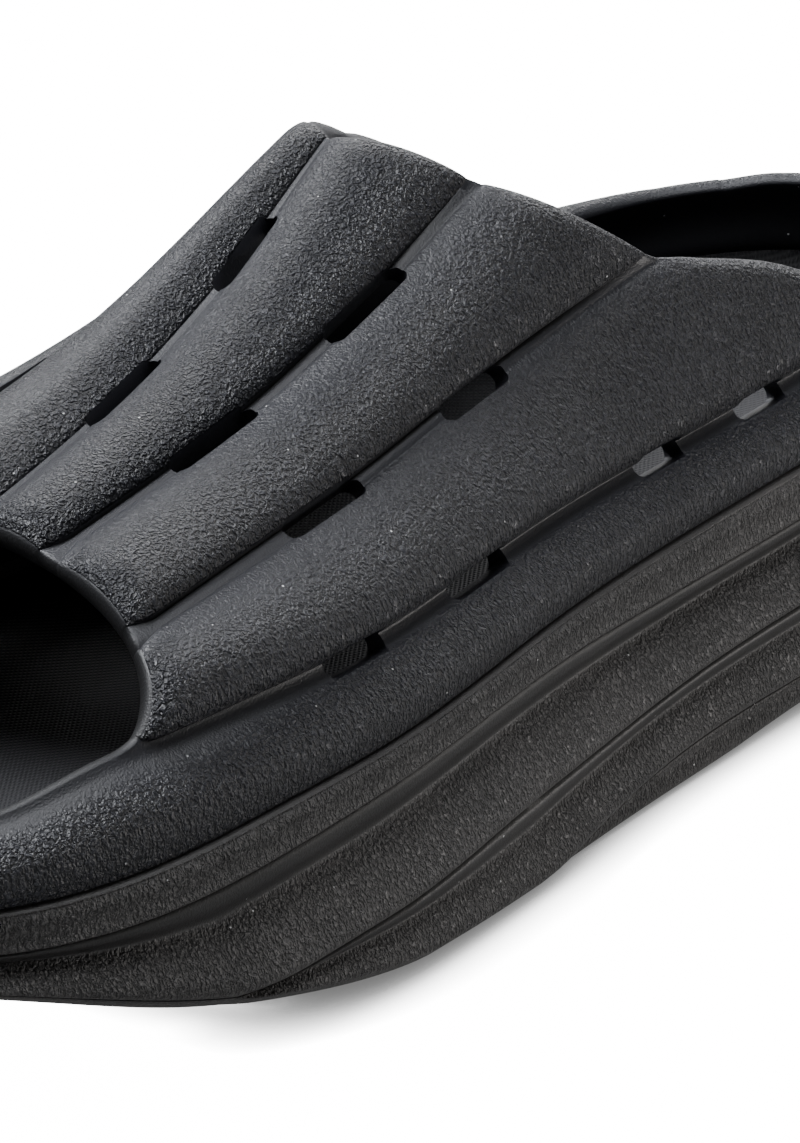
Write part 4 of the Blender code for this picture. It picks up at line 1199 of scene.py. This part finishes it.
def side_rows(last, share):
    """Height, outset and grain of every row of the sole's side, at places along it."""
    seam = last.height(share, "seam")
    under = last.height(share, "under")
    edge = np.maximum(last.height(share, "edge"), under + LEAST_ROLL)
    start, gain, by = LIP_GROWTH
    lip = LIP_BAND * (start + gain * soft_step(share / by)) * Line(LIP_THIN).at(share)[..., 0]
    crease_1 = seam - lip
    floor_3 = edge + LEAST_BAND
    floor_2 = floor_3 + LEAST_BAND
    raised = soft_step((share - RAISE_FROM) / RAISE_RUN)
    crease_2 = last.height(share, "crease_2") + CREASE_RAISE[0] * raised
    crease_3 = last.height(share, "crease_3") + CREASE_RAISE[1] * raised
    keep_2 = soft_step((crease_2 - floor_2) / CREASE_FADE)
    keep_3 = soft_step((crease_3 - floor_3) / CREASE_FADE)
    crease_2 = np.maximum(crease_2, floor_2)
    crease_3 = np.minimum(np.maximum(crease_3, floor_3), crease_2 - LEAST_BAND)
    tops = {"lip": seam, "upper": crease_1, "middle": crease_2, "lower": crease_3}
    ends = {"lip": crease_1, "upper": crease_2, "middle": crease_3, "lower": edge}
    keeps = {"middle": keep_2, "lower": keep_3}
    plain = {"middle": PLAIN_SWELL, "lower": PLAIN_SWELL + (WIDE_SWELL - PLAIN_SWELL) * keep_2}
    tip = soft_step(1.0 - share / TIP_RUN) * TIP_PULL
    rows = []
    for band, part, outset, grain_and_shade in fine_side():
        out = np.full(share.shape, outset)
        if band in keeps:
            out = outset * keeps[band] + plain[band] * (1.0 - keeps[band])
        level = tops[band] + (ends[band] - tops[band]) * part
        rows.append((level, out * SIDE_SWELL * (1.0 - tip), np.full(share.shape, grain_and_shade)))
    wide, high = np.moveaxis(Line(UNDER_ROLL).at(share), -1, 0)
    first = np.arcsin(np.clip(1.0 - (edge - under) / high, 0.0, 1.0))
    for i in range(1, EDGE_STEPS + 1):
        turn = first + (0.5 * math.pi - first) * i / EDGE_STEPS
        rows.append((under + high * (1.0 - np.sin(turn)), rows[-1][1], np.full(share.shape, UNDER_GRAIN)))
    rows = np.array(rows)
    deep = np.clip((under + high - rows[:, 0]) / high, 0.0, 1.0)
    rows[:, 1] -= wide * (1.0 - np.sqrt(1.0 - deep ** 2))
    return rows


def stations(last, steps):
    """Stops along the shoe and the turns of one full round: outer side, then back by the inner."""
    turn = np.linspace(0.0, math.pi, steps + 1)
    stops = (1.0 - np.cos(turn)) / 2
    outer = last.turn(stops, "outer")
    inner = last.turn(stops, "inner")
    turns = np.concatenate([outer, inner[1:-1][::-1]])
    shares = np.concatenate([stops, stops[1:-1][::-1]])
    outer_at = list(range(steps + 1))
    inner_at = [0] + list(range(2 * steps - 1, steps, -1)) + [steps]
    return stops, turns, shares, outer_at, inner_at


def inset_points(last, turns, inset, heights):
    plan = last.outline.at(turns) + last.inward(turns) * np.asarray(inset)[..., None]
    return np.concatenate([plan, np.asarray(heights)[..., None]], -1)


def cap_grid(outer_ids, inner_ids, points, across, height):
    """A grid that fills the space between matching edge points; returns its faces. The height of a
    point comes from its place across, -1 to 1, and the number of its station."""
    faces = []
    rows = []
    for k, (a, b) in enumerate(zip(outer_ids, inner_ids)):
        if k in (0, len(outer_ids) - 1):
            rows.append([a] * (across + 1))
            continue
        part = np.arange(1, across) / across
        line = points[a][None] * (1.0 - part)[:, None] + points[b][None] * part[:, None]
        line[:, 2] = height(2.0 * part - 1.0, k)
        rows.append([a] + add_row(points, line) + [b])
    for one, two in zip(rows[:-1], rows[1:]):
        for i in range(across):
            quad = []
            for corner in (one[i], two[i], two[i + 1], one[i + 1]):
                if corner not in quad:
                    quad.append(corner)
            faces.append(quad)
    return faces


def add_row(points, row):
    """Adds points to the list and returns their numbers."""
    points += list(row)
    return list(range(len(points) - len(row), len(points)))


def picked(ring, places):
    return [ring[i] for i in places]


def ring_faces(one, two):
    n = len(one)
    return [(one[i], one[(i + 1) % n], two[(i + 1) % n], two[i]) for i in range(n)]


def bed_height(last, share, side):
    """Top of the footbed: side is -1 and 1 at its edges and 0 along its middle."""
    rise = FOOTBED_HEEL_RISE * soft_step((share - BED_RISE_FROM) / BED_RISE_RUN)
    edge = last.height(share, "seam") - FOOTBED_SINK + rise
    return edge - FOOTBED_DISH * (1.0 - np.abs(side) ** BED_DISH_POWER)


def build_sole(last, material):
    stops, turns, shares, outer_at, inner_at = stations(last, FINE_STATIONS)
    levels = side_rows(last, shares)
    points = []
    grain_and_shade = []
    rings = []
    for level, out, grain_and_shade_value in levels:
        row = inset_points(last, turns, -out, level)
        rings.append(add_row(points, row))
        # Values below 0 are painted shade in the side's creases and valleys.
        grain_and_shade += list(grain_and_shade_value)
    faces = []
    for one, two in zip(rings[:-1], rings[1:]):
        faces += ring_faces(one, two)
    seam = last.height(shares, "seam")
    bed = bed_height(last, shares, np.ones(len(shares))) - FOOTBED_THICK - GAP
    above = []
    for inset, height in ((LEDGE, seam), (LEDGE, bed)):
        row = inset_points(last, turns, np.full(len(turns), inset), height)
        above.append(add_row(points, row))
    faces += ring_faces(above[0], rings[0])
    faces += ring_faces(above[1], above[0])

    def tray(side, k):
        return bed_height(last, np.full(side.shape, stops[k]), side) - FOOTBED_THICK - GAP

    def under(side, k):
        return np.full(side.shape, float(last.height(stops[k], "under")))

    floor = above[1]
    bottom = rings[-1]
    faces += cap_grid(picked(floor, inner_at), picked(floor, outer_at), points, TRAY_CELLS, tray)
    faces += cap_grid(picked(bottom, outer_at), picked(bottom, inner_at), points, UNDER_CELLS, under)
    grain_and_shade += [0.0] * (len(points) - len(grain_and_shade))
    sole = make_piece("layered_sole", points, faces, grain_and_shade, material)
    bars = run_tree(tread_tree(material), tread_marks(last), "tread_bars")
    cut(sole, bars)
    smooth(sole.data, SMOOTH_BELOW)
    return sole


def tread_marks(last):
    """One marker for each tread groove, at its middle, scaled to its reach."""
    places = []
    sizes = []
    for along, reach in TREAD:
        ends = [last.outline.at(last.turn(np.array([along]), side))[0, 0] for side in ("outer", "inner")]
        here = float(last.height(along, "under"))
        lean = here - float(last.height(share_along(place_along(along) - TREAD_BOW), "under"))
        places.append((sum(ends) / 2, place_along(along), here - lean / 3))
        sizes.append((BALL_WIDTH / 2 * reach / TREAD_BAR, 1.0, 1.0))
    return marker_object("tread_marks", places, [(0.0, 0.0, 0.0)] * len(places), sizes)


def tread_tree(material):
    """Tree for the bars that cut the tread grooves: a bowed line with a wedge drawn along it."""
    tree, start, end = bar_tree("tread_bars", (
        ("Half Length", TREAD_BAR), ("Bow", TREAD_BOW), ("Width", TREAD_WIDTH), ("Depth", TREAD_DEPTH),
        ("Start", TREAD_START)))
    back = math_node(tree, "MULTIPLY", start["Half Length"], -1.0)
    pull = math_node(tree, "MULTIPLY", start["Bow"], -2.0)
    ends = (("Start", "X", back), ("Middle", "Y", pull), ("End", "X", start["Half Length"]))
    stops = [(name, add_node(tree, "ShaderNodeCombineXYZ", [(axis, way)]).outputs["Vector"])
             for name, axis, way in ends]
    bow = add_node(tree, "GeometryNodeCurveQuadraticBezier", [*stops, ("Resolution", TREAD_POINTS)])
    profile = add_node(tree, "GeometryNodeCurvePrimitiveQuadrilateral", [
        ("Bottom Width", start["Width"]),
        ("Top Width", math_node(tree, "MULTIPLY", start["Width"], TREAD_TAPER)),
        ("Height", math_node(tree, "ADD", start["Depth"], start["Start"])),
        ("Offset", 0.0)], mode="TRAPEZOID")
    bar = add_node(tree, "GeometryNodeCurveToMesh", [
        ("Curve", bow.outputs["Curve"]), ("Profile Curve", profile.outputs["Curve"]), ("Fill Caps", True)])
    lift = math_node(tree, "MULTIPLY", math_node(tree, "SUBTRACT", start["Depth"], start["Start"]), 0.5)
    set_on_points(tree, start, end, moved(tree, bar.outputs["Mesh"], "Z", lift), material)
    return tree


def build_footbed(last, material):
    stops, turns, shares, outer_at, inner_at = stations(last, BED_STATIONS)
    top = bed_height(last, shares, np.ones(len(shares)))
    points = []
    rings = []
    corner = BED_EDGE * BED_CORNER
    for inset, drop in ((BED_EDGE, 0.0), (corner, corner), (0.0, BED_EDGE), (0.0, FOOTBED_THICK)):
        row = inset_points(last, turns, np.full(len(turns), LEDGE + GAP + inset), top - drop)
        rings.append(add_row(points, row))

    def face(side, k):
        return bed_height(last, np.full(side.shape, stops[k]), side)

    def back(side, k):
        return face(side, k) - FOOTBED_THICK

    faces = []
    for one, two in zip(rings[:-1], rings[1:]):
        faces += ring_faces(one, two)
    faces += cap_grid(picked(rings[0], inner_at), picked(rings[0], outer_at), points, BED_CELLS, face)
    faces += cap_grid(picked(rings[-1], outer_at), picked(rings[-1], inner_at), points, UNDER_CELLS, back)
    bed = make_piece("dished_footbed", points, faces, np.ones(len(points)), material)
    smooth(bed.data, SMOOTH_BELOW)
    return bed


def new_material(name):
    """A material with its node tree and its shader."""
    material = bpy.data.materials.new(name)
    material.use_nodes = True
    tree = material.node_tree
    return material, tree, tree.nodes["Principled BSDF"]


def math_node(tree, operation, *values, clamp=False):
    """A Math node fed by sockets or plain numbers; returns its output socket."""
    node = add_node(tree, "ShaderNodeMath", enumerate(values), operation=operation, use_clamp=clamp)
    return node.outputs["Value"]


def ramp(tree, value, low, high, kind="SMOOTHSTEP"):
    """A step of a value from low to high, soft or straight."""
    node = add_node(tree, "ShaderNodeMapRange", [("Value", value), ("From Min", low), ("From Max", high)],
                    interpolation_type=kind)
    return node.outputs["Result"]


def mixed(tree, factor, a, b, blend="MIX"):
    """Two colours mixed; returns the output socket."""
    node = add_node(tree, "ShaderNodeMix", (), data_type="RGBA", blend_type=blend)
    feed(tree, node, [("Factor", factor), ("A", a), ("B", b)])
    return node.outputs["Result"]


def noise(tree, place, scale, detail, roughness=0.5):
    """A noise pattern at the given place."""
    return add_node(tree, "ShaderNodeTexNoise", [
        ("Vector", place), ("Scale", scale), ("Detail", detail), ("Roughness", roughness)]).outputs


def bumped(tree, height, depth):
    """The normal bent by a height pattern of this depth in metres."""
    node = add_node(tree, "ShaderNodeBump", [("Strength", 1.0), ("Distance", depth), ("Height", height)])
    return node.outputs["Normal"]


def grain_group():
    """Short worm-like wrinkles of moulded foam, longer up and down, with a fine tooth over them."""
    group, start, end = node_group("wrinkled_grain", "ShaderNodeTree", (("Scale", 1000.0), ("Mask", 1.0)),
                                   (("Height", "NodeSocketFloat"), ("Wrinkle", "NodeSocketFloat")))
    place = add_node(group, "ShaderNodeTexCoord").outputs["Object"]
    long = add_node(group, "ShaderNodeMapping", [
        ("Vector", place), ("Rotation", (0.0, GRAIN_LEAN, 0.0)), ("Scale", (1.0, 1.0, GRAIN_STRETCH))])
    drift = noise(group, place, DRIFT_SCALE, 1.0)["Color"]
    bent = add_node(group, "ShaderNodeVectorMath", [
        (0, drift), (1, (GRAIN_BEND, GRAIN_BEND, GRAIN_BEND)), (2, long.outputs["Vector"])],
        operation="MULTIPLY_ADD")
    worms = noise(group, bent.outputs["Vector"], start["Scale"], 1.0, 0.4)["Fac"]
    fine = noise(group, place, TOOTH_SCALE, 1.0)["Fac"]
    masked = math_node(group, "MULTIPLY", ramp(group, worms, *GRAIN_RAMP), start["Mask"])
    height = math_node(group, "ADD", masked, math_node(group, "MULTIPLY", fine, TOOTH))
    group.links.new(height, end["Height"])
    plain = math_node(group, "MULTIPLY_ADD", start["Mask"], -0.5, 0.5)
    group.links.new(math_node(group, "ADD", masked, plain), end["Wrinkle"])
    return group


def lint_group():
    """Sparse pale specks of lint."""
    inputs = (("Scale", LINT_SCALE), ("Size", LINT_SIZE))
    outputs = (("Specks", "NodeSocketFloat"),)
    group, start, end = node_group("lint_specks", "ShaderNodeTree", inputs, outputs)
    place = add_node(group, "ShaderNodeTexCoord").outputs["Object"]
    cells = add_node(group, "ShaderNodeTexVoronoi", [
        ("Vector", place), ("Scale", start["Scale"])], feature="F1")
    near = math_node(group, "LESS_THAN", cells.outputs["Distance"], start["Size"])
    parts = add_node(group, "ShaderNodeSeparateColor", [("Color", cells.outputs["Color"])])
    chosen = math_node(group, "GREATER_THAN", parts.outputs["Red"], LINT_RARE)
    group.links.new(math_node(group, "MULTIPLY", near, chosen), end["Specks"])
    return group


def foam_material(name, grain_and_shade, lint):
    """Moulded foam: two tones in large clouds, wrinkles where the grain value asks for them, painted
    shade where it is below 0 and in the hollows between wrinkles, and lint on top."""
    dark, light, roughness, depth, scale = FOAMS[name]
    material, tree, shader = new_material(name)
    grain_and_shade_value = add_node(tree, "ShaderNodeAttribute", attribute_name="grain_and_shade").outputs["Fac"]
    wrinkles = add_node(tree, "ShaderNodeGroup", [], node_tree=grain_and_shade)
    feed(tree, wrinkles, [("Scale", scale), ("Mask", math_node(tree, "MAXIMUM", grain_and_shade_value, 0.0))])
    wrinkle = wrinkles.outputs["Wrinkle"]
    # Factor of painted shade from grain values below 0: darker and duller foam.
    outer = math_node(tree, "MULTIPLY_ADD", grain_and_shade_value, PAINTED_SHADE, 1.0, clamp=True)
    place = add_node(tree, "ShaderNodeTexCoord").outputs["Object"]
    clouds = noise(tree, place, CLOUD_SCALE, 3.0)["Fac"]
    tone = mixed(tree, ramp(tree, clouds, *CLOUD_RAMP), (*dark, 1.0), (*light, 1.0))
    # Painted shade in the hollows between wrinkles, lighter on their ridges.
    hollow_shade = math_node(tree, "MULTIPLY_ADD", wrinkle, *WRINKLE_HOLLOW_SHADE)
    shade = math_node(tree, "MULTIPLY", hollow_shade, math_node(tree, "POWER", outer, PAINTED_SHADE_POWER))
    shaded_tone = mixed(tree, 1.0, tone, shade, "MULTIPLY")
    specks = add_node(tree, "ShaderNodeGroup", node_tree=lint).outputs["Specks"]
    plain = math_node(tree, "MULTIPLY_ADD", outer, -PAINTED_SHADE_ROUGH, roughness + GRAIN_GLOSS + PAINTED_SHADE_ROUGH)
    feed(tree, shader, [
        ("Base Color", mixed(tree, specks, shaded_tone, LINT_COLOUR)),
        ("Roughness", math_node(tree, "MULTIPLY_ADD", wrinkle, -GRAIN_GLOSS, plain)),
        ("Normal", bumped(tree, wrinkles.outputs["Height"], depth))])
    return material


def bed_material():
    """Near-black footbed with a fine woven-looking press, and painted shade where it lies under the vamp."""
    material, tree, shader = new_material("pressed_footbed_foam")
    place = add_node(tree, "ShaderNodeTexCoord").outputs["Object"]
    parts = add_node(tree, "ShaderNodeSeparateXYZ", [("Vector", place)]).outputs
    # Painted shade under the vamp, giving way to the open tone towards the outer side and the toe.
    lit = math_node(tree, "MAXIMUM", ramp(tree, parts["X"], *BED_LIT_SIDE, "LINEAR"),
                    ramp(tree, parts["Y"], *BED_LIT_TOE, "LINEAR"))
    lines = []
    for turn, pitch in BED_PRESS:
        aim = add_node(tree, "ShaderNodeMapping", [("Vector", place), ("Rotation", (0.0, 0.0, turn))])
        wave = add_node(tree, "ShaderNodeTexWave", [
            ("Vector", aim.outputs["Vector"]), ("Scale", math.pi / (10.0 * pitch)),
            ("Distortion", BED_WAVER[0]), ("Detail Scale", BED_WAVER[1])],
            wave_type="BANDS", bands_direction="X", wave_profile="SIN")
        lines.append(wave.outputs["Fac"])
    feed(tree, shader, [
        ("Base Color", mixed(tree, lit, BED_UNDER_VAMP_SHADE, BED_BLACK)),
        ("Roughness", BED_ROUGH),
        ("Specular IOR Level", BED_GLOSS),
        ("Normal", bumped(tree, math_node(tree, "MULTIPLY", *lines), BED_PRESS_DEPTH))])
    return material


def floor_material():
    """White sweep: bright to the camera, so that only the shadow close to the shoe is seen."""
    material, tree, shader = new_material("pale_floor")
    rays = add_node(tree, "ShaderNodeLightPath")
    near = add_node(tree, "ShaderNodeAmbientOcclusion", [("Distance", FLOOR_SHADE_REACH)], samples=16)
    open_share = math_node(tree, "POWER", near.outputs["AO"], FLOOR_SHADE)
    glow = math_node(tree, "MULTIPLY_ADD", rays.outputs["Is Camera Ray"], open_share, FLOOR_GLOW / FLOOR_SEEN)
    feed(tree, shader, [
        ("Base Color", FLOOR_COLOUR), ("Roughness", 0.9), ("Specular IOR Level", 0.0),
        ("Emission Color", glow), ("Emission Strength", FLOOR_SEEN)])
    return material


def build_floor():
    mesh = bpy.data.meshes.new("studio_floor")
    half = FLOOR_HALF_SIDE
    corners = [(-half, -half, 0.0), (half, -half, 0.0), (half, half, 0.0), (-half, half, 0.0)]
    mesh.from_pydata(corners, [], [(0, 1, 2, 3)])
    mesh.materials.append(floor_material())
    return place_object("studio_floor", mesh)


def aim_camera():
    a = math.radians(CAMERA_AZIMUTH)
    e = math.radians(CAMERA_ELEVATION)
    r = math.radians(CAMERA_ROLL)
    back = Vector((math.sin(a) * math.cos(e), -math.cos(a) * math.cos(e), math.sin(e)))
    level = Vector((math.cos(a), math.sin(a), 0.0))
    upright = back.cross(level)
    across = level * math.cos(r) + upright * math.sin(r)
    up = upright * math.cos(r) - level * math.sin(r)
    eye = Vector(CAMERA_AIM) + across * CAMERA_ACROSS + up * CAMERA_UP + back * CAMERA_DISTANCE
    data = bpy.data.cameras.new("photo_camera")
    data.sensor_fit = "VERTICAL"
    data.sensor_height = SENSOR
    data.lens = PIXELS_PER_METRE * CAMERA_DISTANCE * SENSOR / PHOTO_HEIGHT
    data.clip_start, data.clip_end = CAMERA_SIGHT
    camera = place_object("photo_camera", data)
    camera.matrix_world = Matrix.Translation(eye) @ Matrix((across, up, back)).transposed().to_4x4()
    bpy.context.scene.camera = camera


def add_light(name, place, aim, size, power, colour):
    data = bpy.data.lights.new(name, "AREA")
    data.shape = "RECTANGLE"
    data.size, data.size_y = size
    data.energy = power
    data.color = colour
    way = Vector(aim) - Vector(place)
    turned = way.to_track_quat("-Z", "Y").to_matrix().to_4x4()
    place_object(name, data).matrix_world = Matrix.Translation(place) @ turned


def light_studio():
    """A white backdrop for the camera, a faint room for the light, and the lamps."""
    world = bpy.data.worlds.new("studio")
    world.use_nodes = True
    tree = world.node_tree
    seen = tree.nodes["Background"]
    feed(tree, seen, [("Color", BACKDROP_COLOUR), ("Strength", BACKDROP_LIGHT)])
    room = add_node(tree, "ShaderNodeBackground", [("Color", ROOM_COLOUR), ("Strength", ROOM_LIGHT)])
    rays = add_node(tree, "ShaderNodeLightPath")
    both = add_node(tree, "ShaderNodeMixShader", [
        (0, rays.outputs["Is Camera Ray"]), (1, room.outputs["Background"]), (2, seen.outputs["Background"])])
    tree.links.new(both.outputs["Shader"], tree.nodes["World Output"].inputs["Surface"])
    bpy.context.scene.world = world
    for light in LIGHTS:
        add_light(*light)


def main():
    last = Last()
    grain_and_shade = grain_group()
    lint = lint_group()
    pieces = {
        "upper": build_upper(last, foam_material("upper_foam", grain_and_shade, lint)),
        "sole": build_sole(last, foam_material("sole_foam", grain_and_shade, lint)),
        "footbed": build_footbed(last, bed_material()),
    }
    for node, piece in pieces.items():
        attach(piece, "root")
        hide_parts(node)
    build_floor()
    aim_camera()
    light_studio()


main()
